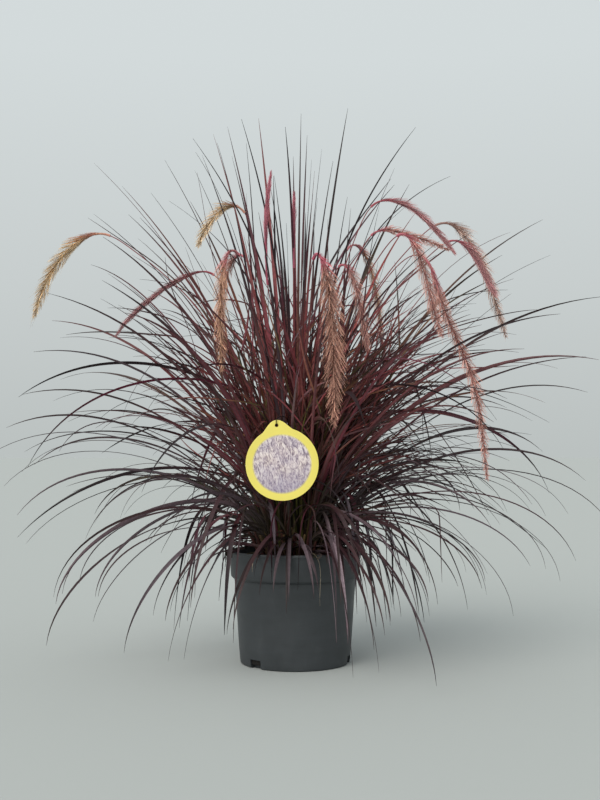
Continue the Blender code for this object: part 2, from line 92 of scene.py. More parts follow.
# Pot sizes, as the solid has them
BASE_RADIUS, NECK_RADIUS, BAND_RADIUS, BAND_BOTTOM = 0.079, 0.0868, 0.0925, 0.1205
WALL, FLOOR_TOP, FOOT_GROOVE = 0.0020, 0.0050, 0.0030
NOTCH_COUNT, NOTCH_WIDTH, NOTCH_HEIGHT, FIRST_NOTCH = 3, 0.020, 0.0125, -134.0
DRAIN_COUNT, DRAIN_RADIUS, DRAIN_CIRCLE = 4, 0.0050, 0.044

# Label and its tie
LABEL_RADIUS, LABEL_CENTRE, LABEL_LEAN = 0.0490, (-0.0170, -0.1180, 0.2840), 8.0
TAB_RISE, TAB_HALF_ANGLE, HOLE_RADIUS, HOLE_REACH = 0.0105, 27.0, 0.0024, 0.0525
TIE_RADIUS, TIE_HALF_WIDTH, TIE_HALF_LOOP, TIE_FRONT = 0.0006, 0.0085, 0.0047, 0.0032
TIE_AZIMUTH, TIE_BACK_REACH = 259.6, 0.0805
# The print changes from picture to border between these distances from the label's centre
PICTURE_EDGE = 0.0375, 0.0405

# Shoots: radius of the ring that each kind stands on
HEART_RING, STEM_RING, MIDDLE_RING, OUTER_RING = 0.0140, 0.0225, 0.0315, 0.0430
SHEATH_HEIGHT = 0.034

# Leaf tufts: ring, azimuth in degrees, then each lead blade's tip as (azimuth, reach from the axis, height)
LEAF_TUFTS = [
    (HEART_RING, 28, [
        (22, 0.085, 0.815), (20, 0.16, 0.73), (38, 0.25, 0.69), (28, 0.20, 0.715), (32, 0.27, 0.66),
    ]),
    (HEART_RING, 85, [
        (70, 0.12, 0.775), (78, 0.17, 0.71), (92, 0.10, 0.76), (74, 0.28, 0.65), (95, 0.27, 0.63),
    ]),
    (HEART_RING, 150, [
        (135, 0.14, 0.76), (140, 0.22, 0.70), (150, 0.29, 0.64), (146, 0.19, 0.74), (162, 0.27, 0.665),
    ]),
    (HEART_RING, 189, [
        (189, 0.12, 0.76), (190, 0.29, 0.71), (188, 0.25, 0.68), (189, 0.19, 0.72), (187, 0.29, 0.64),
    ]),
    (HEART_RING, 224, [
        (224, 0.13, 0.75), (222, 0.07, 0.775), (226, 0.18, 0.70), (221, 0.25, 0.64), (225, 0.28, 0.60),
    ]),
    (HEART_RING, 277, [
        (277, 0.07, 0.775), (278, 0.12, 0.73), (277, 0.18, 0.68), (276, 0.24, 0.65), (278, 0.28, 0.60),
    ]),
    (MIDDLE_RING, 0, [
        (11, 0.385, 0.655), (358, 0.37, 0.585), (17, 0.335, 0.605), (344, 0.45, 0.51), (23, 0.46, 0.435),
    ]),
    (MIDDLE_RING, 60, [
        (40, 0.42, 0.53), (52, 0.38, 0.60), (67, 0.43, 0.48), (76, 0.36, 0.62), (46, 0.46, 0.40),
    ]),
    (MIDDLE_RING, 120, [
        (98, 0.41, 0.55), (112, 0.44, 0.46), (131, 0.39, 0.58), (105, 0.46, 0.38), (138, 0.43, 0.50),
    ]),
    (MIDDLE_RING, 175, [
        (158, 0.42, 0.51), (168, 0.29, 0.57), (185, 0.28, 0.52), (190, 0.385, 0.38), (150, 0.45, 0.42),
    ]),
    (MIDDLE_RING, 228, [
        (215, 0.38, 0.50), (222, 0.42, 0.42), (240, 0.39, 0.46), (228, 0.42, 0.36), (230, 0.36, 0.56),
    ]),
    (MIDDLE_RING, 300, [
        (300, 0.40, 0.45), (323, 0.41, 0.47), (304, 0.43, 0.36), (337, 0.43, 0.42), (276, 0.38, 0.46),
    ]),
    (OUTER_RING, 20, [
        (8, 0.445, 0.39), (28, 0.46, 0.30), (14, 0.37, 0.21), (20, 0.30, 0.10), (35, 0.43, 0.20),
    ]),
    (OUTER_RING, 65, [
        (52, 0.42, 0.26), (62, 0.45, 0.33), (72, 0.36, 0.13), (58, 0.25, 0.05), (79, 0.42, 0.22),
    ]),
    (OUTER_RING, 110, [
        (95, 0.43, 0.30), (103, 0.38, 0.16), (117, 0.45, 0.25), (110, 0.22, 0.04), (124, 0.34, 0.10),
    ]),
    (OUTER_RING, 152, [
        (142, 0.43, 0.34), (149, 0.38, 0.20), (160, 0.44, 0.28), (165, 0.34, 0.10), (155, 0.24, 0.05),
    ]),
    (OUTER_RING, 188, [
        (182, 0.415, 0.335), (176, 0.43, 0.25), (194, 0.435, 0.29), (187, 0.35, 0.03), (199, 0.33, 0.11),
    ]),
    (OUTER_RING, 222, [
        (208, 0.40, 0.22), (216, 0.37, 0.12), (225, 0.30, 0.05), (233, 0.40, 0.20), (212, 0.20, 0.02),
    ]),
    (OUTER_RING, 262, [
        (246, 0.21, 0.07), (254, 0.165, 0.115), (267, 0.15, 0.105), (279, 0.16, 0.11), (259, 0.235, 0.60),
    ]),
    (OUTER_RING, 302, [
        (294, 0.255, 0.03), (306, 0.295, 0.015), (318, 0.36, 0.10), (301, 0.33, 0.12), (311, 0.42, 0.24),
    ]),
    (OUTER_RING, 343, [
        (335, 0.40, 0.16), (345, 0.44, 0.20), (353, 0.41, 0.26), (349, 0.27, 0.12), (359, 0.38, 0.115),
    ]),
]

# Flower stems: foot azimuth, plume azimuth, greatest plume radius, look, then the plume's own route from
# its base to its tip as (reach from the axis, height)
FLOWER_STEMS = [
    (180, 180, 0.0080, "golden", [
        (0.270, 0.619), (0.294, 0.620), (0.318, 0.607), (0.343, 0.585), (0.366, 0.542), (0.380, 0.497),
    ]),
    (197, 200, 0.0062, "golden", [
        (0.075, 0.647), (0.091, 0.656), (0.109, 0.651), (0.124, 0.635), (0.137, 0.614), (0.146, 0.591),
    ]),
    (213, 205, 0.0042, "mauve", [
        (0.124, 0.553), (0.146, 0.554), (0.168, 0.544), (0.198, 0.527), (0.247, 0.484), (0.266, 0.458),
    ]),
    (236, 235, 0.0095, "tan", [
        (0.134, 0.573), (0.153, 0.576), (0.170, 0.540), (0.172, 0.501), (0.171, 0.455), (0.168, 0.408),
    ]),
    (252, 246, 0.0042, "young", [
        (0.094, 0.530), (0.098, 0.575), (0.098, 0.625), (0.085, 0.690),
    ]),
    (268, 268, 0.0040, "young", [
        (0.050, 0.560), (0.050, 0.610), (0.045, 0.668),
    ]),
    (285, 288, 0.0175, "peach", [
        (0.080, 0.574), (0.102, 0.575), (0.127, 0.555), (0.155, 0.500), (0.165, 0.420), (0.168, 0.335),
    ]),
    (300, 308, 0.0085, "rose", [
        (0.097, 0.563), (0.118, 0.553), (0.131, 0.538), (0.140, 0.511), (0.152, 0.465), (0.159, 0.435),
    ]),
    (312, 315, 0.0095, "rose", [
        (0.193, 0.594), (0.217, 0.582), (0.232, 0.557), (0.245, 0.517), (0.256, 0.480), (0.267, 0.448),
    ]),
    (324, 330, 0.0085, "rose", [
        (0.195, 0.582), (0.226, 0.507), (0.251, 0.449), (0.267, 0.417), (0.281, 0.368), (0.292, 0.264),
    ]),
    (336, 336, 0.0060, "rose", [
        (0.116, 0.610), (0.140, 0.613), (0.163, 0.607), (0.184, 0.600), (0.232, 0.577),
    ]),
    (348, 344, 0.0050, "mauve", [
        (0.111, 0.655), (0.133, 0.662), (0.154, 0.656), (0.176, 0.645), (0.212, 0.606), (0.233, 0.578),
    ]),
    (359, 352, 0.0065, "mauve", [
        (0.221, 0.605), (0.240, 0.599), (0.258, 0.580), (0.272, 0.554), (0.286, 0.526),
    ]),
    (11, 5, 0.0080, "spent", [
        (0.207, 0.639), (0.236, 0.639), (0.268, 0.600), (0.283, 0.571), (0.293, 0.535), (0.313, 0.470),
    ]),
    (58, 58, 0.0085, "tan", [
        (0.150, 0.620), (0.180, 0.635), (0.210, 0.625), (0.240, 0.590), (0.262, 0.530), (0.272, 0.470),
    ]),
    (125, 122, 0.0090, "rose", [
        (0.140, 0.600), (0.165, 0.617), (0.195, 0.610), (0.222, 0.570), (0.238, 0.510), (0.246, 0.440),
    ]),
]

BROAD_PLUME = FLOWER_STEMS[6][0], FLOWER_STEMS[6][1], FLOWER_STEMS[6][4]

# Single blades that stand out of the clump, by the way they grow. Reaches are shares of the rim's radius
# and heights are shares of the pot's height: where a blade leaves the shoots, how far out it ends and how
# much higher it ends. steep and hang bend its arc, breadth is in mm, and tones are the share of each
# colour. clear is a sector in degrees that a kind leaves free: under the label, the front of the pot shows.
STRAY_BLADES = {
    "draping": dict(
        count=16, root_reach=(0.70, 1.00), root_height=(1.20, 1.60), tip_reach=(1.04, 1.22),
        climb=(-0.80, -0.30), steep=(0.30, 0.60), hang=(0.5, 0.9), breadth=(4.2, 6.6),
        tones=dict(mauve=0.5, dark=0.3, wine=0.2),
    ),
    "hanging": dict(
        count=24, root_reach=(0.75, 1.20), root_height=(1.30, 1.75), tip_reach=(1.40, 2.20),
        climb=(-1.20, -0.50), steep=(0.35, 0.55), hang=(0.4, 0.8), breadth=(5.0, 6.6),
        tones=dict(dark=0.5, mauve=0.3, wine=0.2), clear=(236, 290),
    ),
    "arching": dict(
        count=26, root_reach=(0.60, 1.10), root_height=(1.40, 2.50), tip_reach=(2.80, 4.20),
        climb=(-0.95, 0.10), steep=(0.30, 0.50), hang=(0.2, 0.5), breadth=(4.4, 5.6),
        tones=dict(dark=0.70, wine=0.18, red=0.06, mauve=0.06),
    ),
    "upright": dict(
        count=32, root_reach=(0.10, 0.70), root_height=(2.00, 3.00), tip_reach=(0.30, 2.40),
        climb=(1.10, 2.20), steep=(0.35, 0.65), hang=(0.2, 0.9), breadth=(2.5, 3.7),
        tones=dict(dark=0.66, wine=0.34),
    ),
    "dead": dict(
        count=10, root_reach=(0.80, 1.00), root_height=(1.00, 1.12), tip_reach=(1.03, 1.10),
        climb=(-0.60, -0.12), steep=(0.20, 0.50), hang=(0.5, 0.9), breadth=(0.8, 1.2), tones=dict(dry=1.0),
    ),
}

# Colours of those blades, from the foot, over the middle, to the tip. The mauve blades' grey is partly
# their waxy leaf colour and partly a painted sheen of sky light
STRAY_TONES = {
    "dark": ("4E2A2E", "2C2024", "1C1618"),
    "wine": ("5E2A32", "4A2430", "221A1D"),
    "red": ("662C3C", "6E2A3E", "261C20"),
    "mauve": ("4C4045", "655961", "483D43"),
    "dry": ("8E806E", "9C907E", "7E7466"),
}

# Plume looks: colour at the bristles' roots and at their ends, colour of the plume's youngest part, how
# closely the bristles lie to the stem in degrees, spikelets in a metre, the bristles of one spikelet that
# lie locked together and those that stray, a locked bristle's thickness in mm, the share of the plume that
# is still young and lies close, and how far the fringe stands out, as a share of the plume's radius
PLUME_LOOKS = {
    "golden": dict(
        roots="A88860", ends="F4DCB8", young="C08878", lie=30, packed=1150, locked=5, loose=4, bold=0.48,
        grown=0.22, fringe=1.35
    ),
    "peach": dict(
        roots="5E3428", ends="E4AE98", young="CC5E78", lie=40, packed=950, locked=3, loose=3, bold=0.75,
        grown=0.22, fringe=1.0
    ),
    "tan": dict(
        roots="78503C", ends="DCAC90", young="B46870", lie=36, packed=1000, locked=3, loose=3, bold=0.60,
        grown=0.25, fringe=1.1
    ),
    "rose": dict(
        roots="84504E", ends="D8A698", young="B4626E", lie=32, packed=1050, locked=4, loose=3, bold=0.52,
        grown=0.18, fringe=1.10
    ),
    "mauve": dict(
        roots="7E4650", ends="BE8A8A", young="A8545F", lie=13, packed=1150, locked=4, loose=3, bold=0.40,
        grown=0.20, fringe=1.10
    ),
    "young": dict(
        roots="8A4454", ends="BC7480", young="A45064", lie=8, packed=1150, locked=4, loose=3, bold=0.36,
        grown=0.35, fringe=1.1
    ),
    "spent": dict(
        roots="806058", ends="D0B0A0", young="9C7A72", lie=34, packed=950, locked=4, loose=4, bold=0.48,
        grown=0.15, fringe=1.25
    ),
}

# How each ring's shoots grow: spread of their headings and lean in degrees, culm height, leaves on each
# culm, leaf length, how far a leaf's slope falls from its root to its tip and how far it parts from its
# culm, both on the lowest and on the highest leaf, blades that follow each lead blade, breadth, the colour
# of a blade's body, and the shares of mauve, red and olive blades
GROWTH = {
    HEART_RING: dict(
        spread=65, lean=(3, 33), culm=(0.16, 0.34), leaves=8, length=(0.10, 0.24), fall=(30, 10),
        parting=(46, 34), followers=0, broad=1.05, body="A85450", kinds=(0.06, 0.26, 0.26)
    ),
    MIDDLE_RING: dict(
        spread=24, lean=(7, 25), culm=(0.16, 0.34), leaves=6, length=(0.17, 0.34), fall=(56, 24),
        parting=(30, 19), followers=1, broad=1.0, body="7C4042", kinds=(0.12, 0.16, 0.12)
    ),
    OUTER_RING: dict(
        spread=18, lean=(20, 46), culm=(0.05, 0.17), leaves=6, length=(0.16, 0.31), fall=(115, 80),
        parting=(24, 10), followers=1, broad=1.05, body="3E272C", kinds=(0.26, 0.04, 0.03)
    ),
}
CULM_COUNTS = [44, 9, 3, 3, 3, 14, 13, 9, 3, 5, 4, 9, 2, 2, 2, 1, 1, 1, 3, 4, 1]
HANGING_COUNTS = [0] * 12 + [4, 5, 5, 3, 0, 2, 0, 24, 4]
SKIRT_COUNT = 5

# Older blades that hang beside the pot, and the short skirt that lies over its rim: spread in degrees of
# their roots and of their tips about the tuft's azimuth, where they start and end in metres, and how their
# arcs bend
OVERHANGS = {
    "hanging": dict(
        turn=(12, 14), root_reach=(0.045, 0.080), root_height=(0.17, 0.28), tip_reach=(0.13, 0.25),
        tip_height=(0.05, 0.16), steep=(0.30, 0.60), hang=(0.5, 0.9),
    ),
    "skirt": dict(
        turn=(14, 16), root_reach=(0.040, 0.062), root_height=(0.150, 0.180), tip_reach=(0.104, 0.135),
        tip_height=(0.130, 0.162), steep=(0.25, 0.50),
    ),
}

# No stray blade is as high as the tallest lead blades
TALLEST_STRAY = 0.93 * cad_box[1][2]

# The space that every blade stays in, in metres: lowest and highest x, y and z
GRASS_LOW, GRASS_HIGH = (-0.450, -0.395, 0.006), (0.460, 0.455, 0.815)

BLADE_RINGS, CULM_RINGS = 26, 12
LEAF_THICKNESS = 0.00030
GOLDEN_ANGLE = math.radians(137.508)

# Camera and light, in metres and degrees, with the lens in mm. The key's place is the way that it comes from.
CAMERA_SIDE, CAMERA_DISTANCE, CAMERA_HEIGHT, AIM_HEIGHT, LENS = 0.007, 1.6, 0.300, 0.3755, 49.7
KEY_PLACE, KEY_STRENGTH, KEY_SPREAD = (-0.9, -1.6, 1.5), 2.5, 50
FLOOR_RADIUS, FLOOR_DEPTH = 60.0, 0.02


# ---------------------------------------------------------------- small helpers


def linear(code):
    """An sRGB hex colour in linear light: c / 12.92 up to 0.04045, and ((c + 0.055) / 1.055) ** 2.4 above."""
    srgb = np.array([int(code[i : i + 2], 16) / 255 for i in (0, 2, 4)])
    return np.where(srgb < 0.04045, srgb / 12.92, ((srgb + 0.055) / 1.055) ** 2.4)


def paint(code):
    return (*linear(code), 1.0)


def blend_colours(low, high, share):
    """low + (high - low) * share, with share given for every point."""
    return low + (high - low) * np.clip(share, 0, 1)[..., None]


def place(azimuth, reach, height):
    """Points at azimuths in degrees, reaches from the axis and heights: (reach cos a, reach sin a,
    height)."""
    angle = np.radians(azimuth)
    return np.stack(np.broadcast_arrays(reach * np.cos(angle), reach * np.sin(angle), height), axis=-1)


def unit(vectors):
    return vectors / np.maximum(np.linalg.norm(vectors, axis=-1, keepdims=True), 1e-12)


def new_finish(name):
    """A new material with a Principled shader: the material, its node tree and that shader."""
    material = bpy.data.materials.new(name)
    material.use_nodes = True
    return material, material.node_tree, material.node_tree.nodes["Principled BSDF"]


def add_node(tree, kind, inputs=None, stops=(), **settings):
    """One node: settings are its own values, inputs are constants or the sockets that feed it, and stops are
    a colour ramp's (position, sRGB hex) pairs."""
    node = tree.nodes.new(kind)
    for key, value in settings.items():
        setattr(node, key, value)
    for key, value in (inputs or {}).items():
        if isinstance(value, bpy.types.NodeSocket):
            tree.links.new(value, node.inputs[key])
        else:
            node.inputs[key].default_value = value
    for _ in stops[2:]:
        node.color_ramp.elements.new(0.5)
    for number, (position, code) in enumerate(stops):
        node.color_ramp.elements[number].position = position
        node.color_ramp.elements[number].color = paint(code)
    return node


def make_piece(name, points, faces, material, sharp=40, colours=None, uv=None):
    """A mesh object from an (n, 3) array of points and a list of (m, corners) arrays of faces. colours are
    one linear RGB for each point, and uv one pair for each point."""
    mesh = bpy.data.meshes.new(name)
    mesh.vertices.add(len(points))
    mesh.vertices.foreach_set("co", np.asarray(points, np.float32).ravel())
    corners = np.concatenate([group.ravel() for group in faces]).astype(np.int32)
    totals = np.concatenate([np.full(len(group), group.shape[1]) for group in faces]).astype(np.int32)
    starts = np.concatenate([[0], np.cumsum(totals)[:-1]]).astype(np.int32)
    mesh.loops.add(len(corners))
    mesh.loops.foreach_set("vertex_index", corners)
    mesh.polygons.add(len(totals))
    mesh.polygons.foreach_set("loop_start", starts)
    mesh.polygons.foreach_set("loop_total", totals)
    mesh.update(calc_edges=True)
    if colours is not None:
        layer = mesh.color_attributes.new("tone", "FLOAT_COLOR", "POINT")
        full = np.ones((len(points), 4), np.float32)
        full[:, : colours.shape[1]] = colours
        layer.data.foreach_set("color", full.ravel())
    if uv is not None:
        layer = mesh.uv_layers.new(name="OFBake")
        layer.data.foreach_set("uv", np.asarray(uv, np.float32)[corners].ravel())
    mesh.shade_smooth()
    mesh.set_sharp_from_angle(angle=math.radians(sharp))
    mesh.materials.append(material)
    piece = bpy.data.objects.new(name, mesh)
    bpy.context.scene.collection.objects.link(piece)
    return piece


def finish_piece(piece, slot, *nodes):
    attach(piece, "root")
    if nodes:
        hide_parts(*nodes)


def swept_faces(count, rings, sides):
    """Faces of count closed strands, each a stack of rings: a quad between neighbours, and a fan at each
    end."""
    strand = np.arange(count)[:, None, None] * rings * sides
    ring = np.arange(rings - 1)[None, :, None] * sides
    here = np.arange(sides)[None, None, :]
    after = (here + 1) % sides
    low, high = strand + ring, strand + ring + sides
    walls = np.stack([low + here, low + after, high + after, high + here], axis=-1).reshape(-1, 4)
    fan = np.arange(1, sides - 1)
    first = np.stack([np.zeros_like(fan), fan + 1, fan], axis=-1)
    last = np.stack([np.zeros_like(fan), fan, fan + 1], axis=-1) + (rings - 1) * sides
    ends = (strand + np.concatenate([first, last])[None]).reshape(-1, 3)
    return [walls, ends]


def turned_faces(rings, sides):
    """Faces of a body of revolution whose points are rings x sides, with its first and last ring closed."""
    return swept_faces(1, rings, sides)


def looped_faces(rings, sides):
    """Quads between neighbouring rings of points, with the last ring joined to the first."""
    low = (np.arange(rings) * sides)[:, None]
    high = ((np.arange(rings) + 1) % rings * sides)[:, None]
    here = np.arange(sides)
    after = (here + 1) % sides
    return np.stack([low + here, low + after, high + after, high + here], axis=-1).reshape(-1, 4)


def turned(profile, sides):
    """Surface of revolution: point (i, j) = (r_i cos a_j, r_i sin a_j, z_i) for the profile's (r, z)."""
    profile = np.asarray(profile)
    angle = np.linspace(0, 2 * np.pi, sides, endpoint=False)
    radius, height = profile[:, :1], profile[:, 1:]
    return np.stack(np.broadcast_arrays(radius * np.cos(angle), radius * np.sin(angle), height), axis=-1)


def rounded(profile, spacing):
    """The profile's polyline with its corners cut twice (Chaikin) and points added at most spacing apart."""
    points = np.asarray(profile, float)
    for _ in range(2):
        near = 0.82 * points[:-1] + 0.18 * points[1:]
        far = 0.18 * points[:-1] + 0.82 * points[1:]
        middle = np.stack([near, far], axis=1).reshape(-1, 2)
        points = np.vstack([points[:1], middle[1:-1], points[-1:]])
    fine = [points[:1]]
    for a, b in zip(points, points[1:]):
        steps = max(1, int(np.ceil(np.linalg.norm(b - a) / spacing)))
        fine.append(a + (b - a) * np.linspace(0, 1, steps + 1)[1:, None])
    return np.vstack(fine)


def strands(paths, across, widths, fold, thickness):
    """Leaf blades: a V section carried along each path. With W across the blade and N = T x W over it, the
    four corners are +W w/2, -N f w, -W w/2 and -N (f w + thickness)."""
    tangents = unit(np.gradient(paths, axis=1))
    across = unit(across - tangents * np.sum(across * tangents, axis=-1, keepdims=True))
    over = np.cross(tangents, across)
    half = widths[..., None] / 2
    depth = (fold * widths)[..., None]
    under = depth + np.minimum(thickness, 0.4 * widths)[..., None]
    corners = [paths + across * half, paths - over * depth, paths - across * half, paths - over * under]
    return np.stack(corners, axis=2)


def across_blades(paths, twist):
    """Directions across blades: level and square to the path T, L = up x T, then turned about the path by the
    twist, L cos twist + (T x L) sin twist."""
    tangents = unit(np.gradient(paths, axis=1))
    level = unit(np.cross((0.0, 0.0, 1.0), tangents) + 1e-5)
    over = np.cross(tangents, level)
    return level * np.cos(twist)[..., None] + over * np.sin(twist)[..., None]


def tubes(paths, reference, radii, sides):
    """Round strands: ring points P + r (cos a U + sin a V), with U the reference made square to the tangent T
    and V = T x U."""
    tangents = unit(np.gradient(paths, axis=1))
    first = unit(reference - tangents * np.sum(reference * tangents, axis=-1, keepdims=True))
    second = np.cross(tangents, first)
    angle = 2 * np.pi * np.arange(sides) / sides
    around = first[:, :, None] * np.cos(angle)[:, None] + second[:, :, None] * np.sin(angle)[:, None]
    return paths[:, :, None] + around * radii[..., None, None]


def smooth_route(knots, steps):
    """Points at even distances along a Catmull-Rom curve through the knots."""
    knots = np.asarray(knots)
    padded = np.vstack([2 * knots[0] - knots[1], knots, 2 * knots[-1] - knots[-2]])
    t = np.linspace(0, 1, 24, endpoint=False)[None, :, None]
    a, b, c, d = (padded[i : i + len(knots) - 1, None] for i in range(4))
    fine = 0.5 * (2 * b + (c - a) * t + (2 * a - 5 * b + 4 * c - d) * t**2 + (3 * b - a - 3 * c + d) * t**3)
    fine = np.vstack([fine.reshape(-1, 3), knots[-1:]])
    length = np.concatenate([[0], np.cumsum(np.linalg.norm(np.diff(fine, axis=0), axis=1))])
    wanted = np.linspace(0, length[-1], steps + 1)
    return np.stack([np.interp(wanted, length, fine[:, axis]) for axis in range(3)], axis=-1)


# ---------------------------------------------------------------- finishes


def pot_finish():
    """Recycled polypropylene, injection-moulded, slate grey. The eye sees a matt, slightly waxy skin with
    dusty, rubbed patches of about 4 cm, faint level bands from the mould's flow, and a fine mould grain. The
    real grain is about 0.2 mm and wouldn't show, so it is drawn at about 1 mm."""
    material, tree, shader = new_finish("moulded slate polypropylene")
    spot = add_node(tree, "ShaderNodeTexCoord").outputs["Object"]
    dust = add_node(
        tree, "ShaderNodeTexNoise", {"Vector": spot, "Scale": 26.0, "Detail": 5.0, "Roughness": 0.65}
    ).outputs["Fac"]
    grain = add_node(tree, "ShaderNodeTexNoise", {"Vector": spot, "Scale": 900.0, "Detail": 2.0})
    flow = add_node(tree, "ShaderNodeMapping", {"Vector": spot, "Scale": (14.0, 14.0, 70.0)})
    flow = flow.outputs["Vector"]
    bands = add_node(tree, "ShaderNodeTexNoise", {"Vector": flow, "Scale": 1.0, "Detail": 3.0})
    body = add_node(
        tree, "ShaderNodeValToRGB", {"Fac": dust},
        stops=[(0.30, "2A2E31"), (0.60, "33373A"), (0.80, "44484A")]
    )
    tint = add_node(
        tree, "ShaderNodeValToRGB", {"Fac": bands.outputs["Fac"]}, stops=[(0.35, "2C2F31"), (0.70, "373A3E")]
    )
    mixed = add_node(
        tree, "ShaderNodeMix", {"Factor": 0.4, "A": body.outputs["Color"], "B": tint.outputs["Color"]},
        data_type="RGBA",
    )
    tree.links.new(mixed.outputs["Result"], shader.inputs["Base Color"])
    gloss = add_node(
        tree, "ShaderNodeMapRange",
        {"Value": dust, "From Min": 0.3, "From Max": 0.75, "To Min": 0.38, "To Max": 0.62},
    )
    tree.links.new(gloss.outputs["Result"], shader.inputs["Roughness"])
    bump = add_node(
        tree, "ShaderNodeBump", {"Height": grain.outputs["Fac"], "Strength": 0.15, "Distance": 0.0004}
    )
    tree.links.new(bump.outputs["Normal"], shader.inputs["Normal"])
    shader.inputs["IOR"].default_value = 1.49
    return material


def toned_finish(name, roughness, specular, grain_scale, grain_share, sheen=0.0):
    """A finish that takes its colour from the piece's own tone, with a fine grain over it: colour x (1 +-
    share), in patches of 1 / grain_scale metres, and a shallow bump from the same grain."""
    material, tree, shader = new_finish(name)
    tone = add_node(tree, "ShaderNodeAttribute", attribute_name="tone", attribute_type="GEOMETRY")
    spot = add_node(tree, "ShaderNodeTexCoord").outputs["Object"]
    grain = add_node(
        tree, "ShaderNodeTexNoise", {"Vector": spot, "Scale": grain_scale, "Detail": 3.0}
    ).outputs["Fac"]
    low, high = 1 - grain_share, 1 + grain_share
    shade = add_node(
        tree, "ShaderNodeMapRange",
        {"Value": grain, "From Min": 0.3, "From Max": 0.7, "To Min": low, "To Max": high},
    )
    coloured = add_node(
        tree, "ShaderNodeVectorMath", {0: tone.outputs["Color"], "Scale": shade.outputs["Result"]},
        operation="SCALE",
    )
    tree.links.new(coloured.outputs["Vector"], shader.inputs["Base Color"])
    bump = add_node(tree, "ShaderNodeBump", {"Height": grain, "Strength": 0.2, "Distance": 0.0003})
    tree.links.new(bump.outputs["Normal"], shader.inputs["Normal"])
    shader.inputs["Roughness"].default_value = roughness
    shader.inputs["Specular IOR Level"].default_value = specular
    shader.inputs["Sheen Weight"].default_value = sheen
    return material


def label_finish():
    """Printed polypropylene sheet, cut to shape, half gloss: a yellow border round a generic picture of
    drifting grass, with no text. Its strokes are about 3 mm wide and 8 mm long, over 18 mm clouds of a warmer
    tint, and the picture turns violet towards its foot."""
    material, tree, shader = new_finish("printed label polypropylene")
    spot = add_node(tree, "ShaderNodeTexCoord").outputs["Object"]
    back = tuple(-c for c in LABEL_CENTRE)
    centred = add_node(tree, "ShaderNodeMapping", {"Vector": spot, "Location": back})
    level = add_node(
        tree, "ShaderNodeMapping",
        {"Vector": centred.outputs["Vector"], "Rotation": (0.0, math.radians(LABEL_LEAN), 0.0)},
    )
    parts = add_node(tree, "ShaderNodeSeparateXYZ", {"Vector": level.outputs["Vector"]})
    flat = add_node(
        tree, "ShaderNodeCombineXYZ", {"X": parts.outputs["X"], "Y": parts.outputs["Z"]}
    ).outputs["Vector"]
    away = add_node(tree, "ShaderNodeVectorMath", {0: flat}, operation="LENGTH").outputs["Value"]
    edge = {"From Min": PICTURE_EDGE[0], "From Max": PICTURE_EDGE[1], "To Min": 1.0, "To Max": 0.0}
    inside = add_node(tree, "ShaderNodeMapRange", {"Value": away, **edge}).outputs["Result"]
    blades = add_node(
        tree, "ShaderNodeMapping", {"Vector": flat, "Scale": (340.0, 120.0, 1.0), "Rotation": (0, 0, 0.12)}
    ).outputs["Vector"]
    strokes = add_node(
        tree, "ShaderNodeTexNoise",
        {"Vector": blades, "Scale": 1.0, "Detail": 5.0, "Roughness": 0.7, "Distortion": 1.2},
    ).outputs["Fac"]
    clouds = add_node(tree, "ShaderNodeTexNoise", {"Vector": flat, "Scale": 55.0, "Detail": 3.0})
    clouds = clouds.outputs["Fac"]
    light = add_node(
        tree, "ShaderNodeValToRGB", {"Fac": strokes},
        stops=[(0.37, "4C4056"), (0.45, "948496"), (0.53, "DACCD0"), (0.63, "F8F0EC")],
    ).outputs["Color"]
    warm = add_node(
        tree, "ShaderNodeValToRGB", {"Fac": clouds},
        stops=[(0.35, "A89EAE"), (0.5, "B8A6A8"), (0.65, "CCB8A4")]
    ).outputs["Color"]
    picture = add_node(
        tree, "ShaderNodeMix", {"Factor": 0.28, "A": light, "B": warm}, data_type="RGBA"
    ).outputs["Result"]
    low = add_node(
        tree, "ShaderNodeMapRange",
        {"Value": parts.outputs["Z"], "From Min": -0.036, "From Max": 0.004, "To Min": 0.5, "To Max": 0.0},
    ).outputs["Result"]
    cooler = add_node(
        tree, "ShaderNodeMix", {"Factor": low, "A": picture, "B": paint("7E7694")}, data_type="RGBA"
    ).outputs["Result"]
    printed = add_node(
        tree, "ShaderNodeMix", {"Factor": inside, "A": paint("EADB6B"), "B": cooler}, data_type="RGBA"
    )
    tree.links.new(printed.outputs["Result"], shader.inputs["Base Color"])
    shader.inputs["Roughness"].default_value = 0.38
    shader.inputs["IOR"].default_value = 1.49
    return material


def mix_finish():
    """Composted bark and peat, milled and moist: dark brown and nearly matt, with 6 mm lumps and a few paler
    fibres. Its sides and foot, which the pot hides, carry painted shade: the colour falls to a tenth from 12
    cm down to 2 cm."""
    material, tree, shader = new_finish("bark potting mix")
    spot = add_node(tree, "ShaderNodeTexCoord").outputs["Object"]
    lumps = add_node(
        tree, "ShaderNodeTexNoise", {"Vector": spot, "Scale": 160.0, "Detail": 6.0, "Roughness": 0.7}
    ).outputs["Fac"]
    colour = add_node(
        tree, "ShaderNodeValToRGB", {"Fac": lumps},
        stops=[(0.3, "140E0B"), (0.5, "2B1F19"), (0.66, "4A382A"), (0.78, "6B5540")],
    ).outputs["Color"]
    height = add_node(tree, "ShaderNodeSeparateXYZ", {"Vector": spot}).outputs["Z"]
    # Painted shade: the mix's colour falls to a tenth from 12 cm down to 2 cm, where the pot's wall shades it
    painted_shade = add_node(
        tree, "ShaderNodeMapRange",
        {"Value": height, "From Min": 0.02, "From Max": 0.12, "To Min": 0.10, "To Max": 1.0},
    ).outputs["Result"]
    dark = add_node(tree, "ShaderNodeVectorMath", {0: colour, "Scale": painted_shade}, operation="SCALE")
    tree.links.new(dark.outputs["Vector"], shader.inputs["Base Color"])
    bump = add_node(tree, "ShaderNodeBump", {"Height": lumps, "Strength": 0.9, "Distance": 0.002})
    tree.links.new(bump.outputs["Normal"], shader.inputs["Normal"])
    shader.inputs["Roughness"].default_value = 0.92
    return material


# ---------------------------------------------------------------- pot, mix and crown


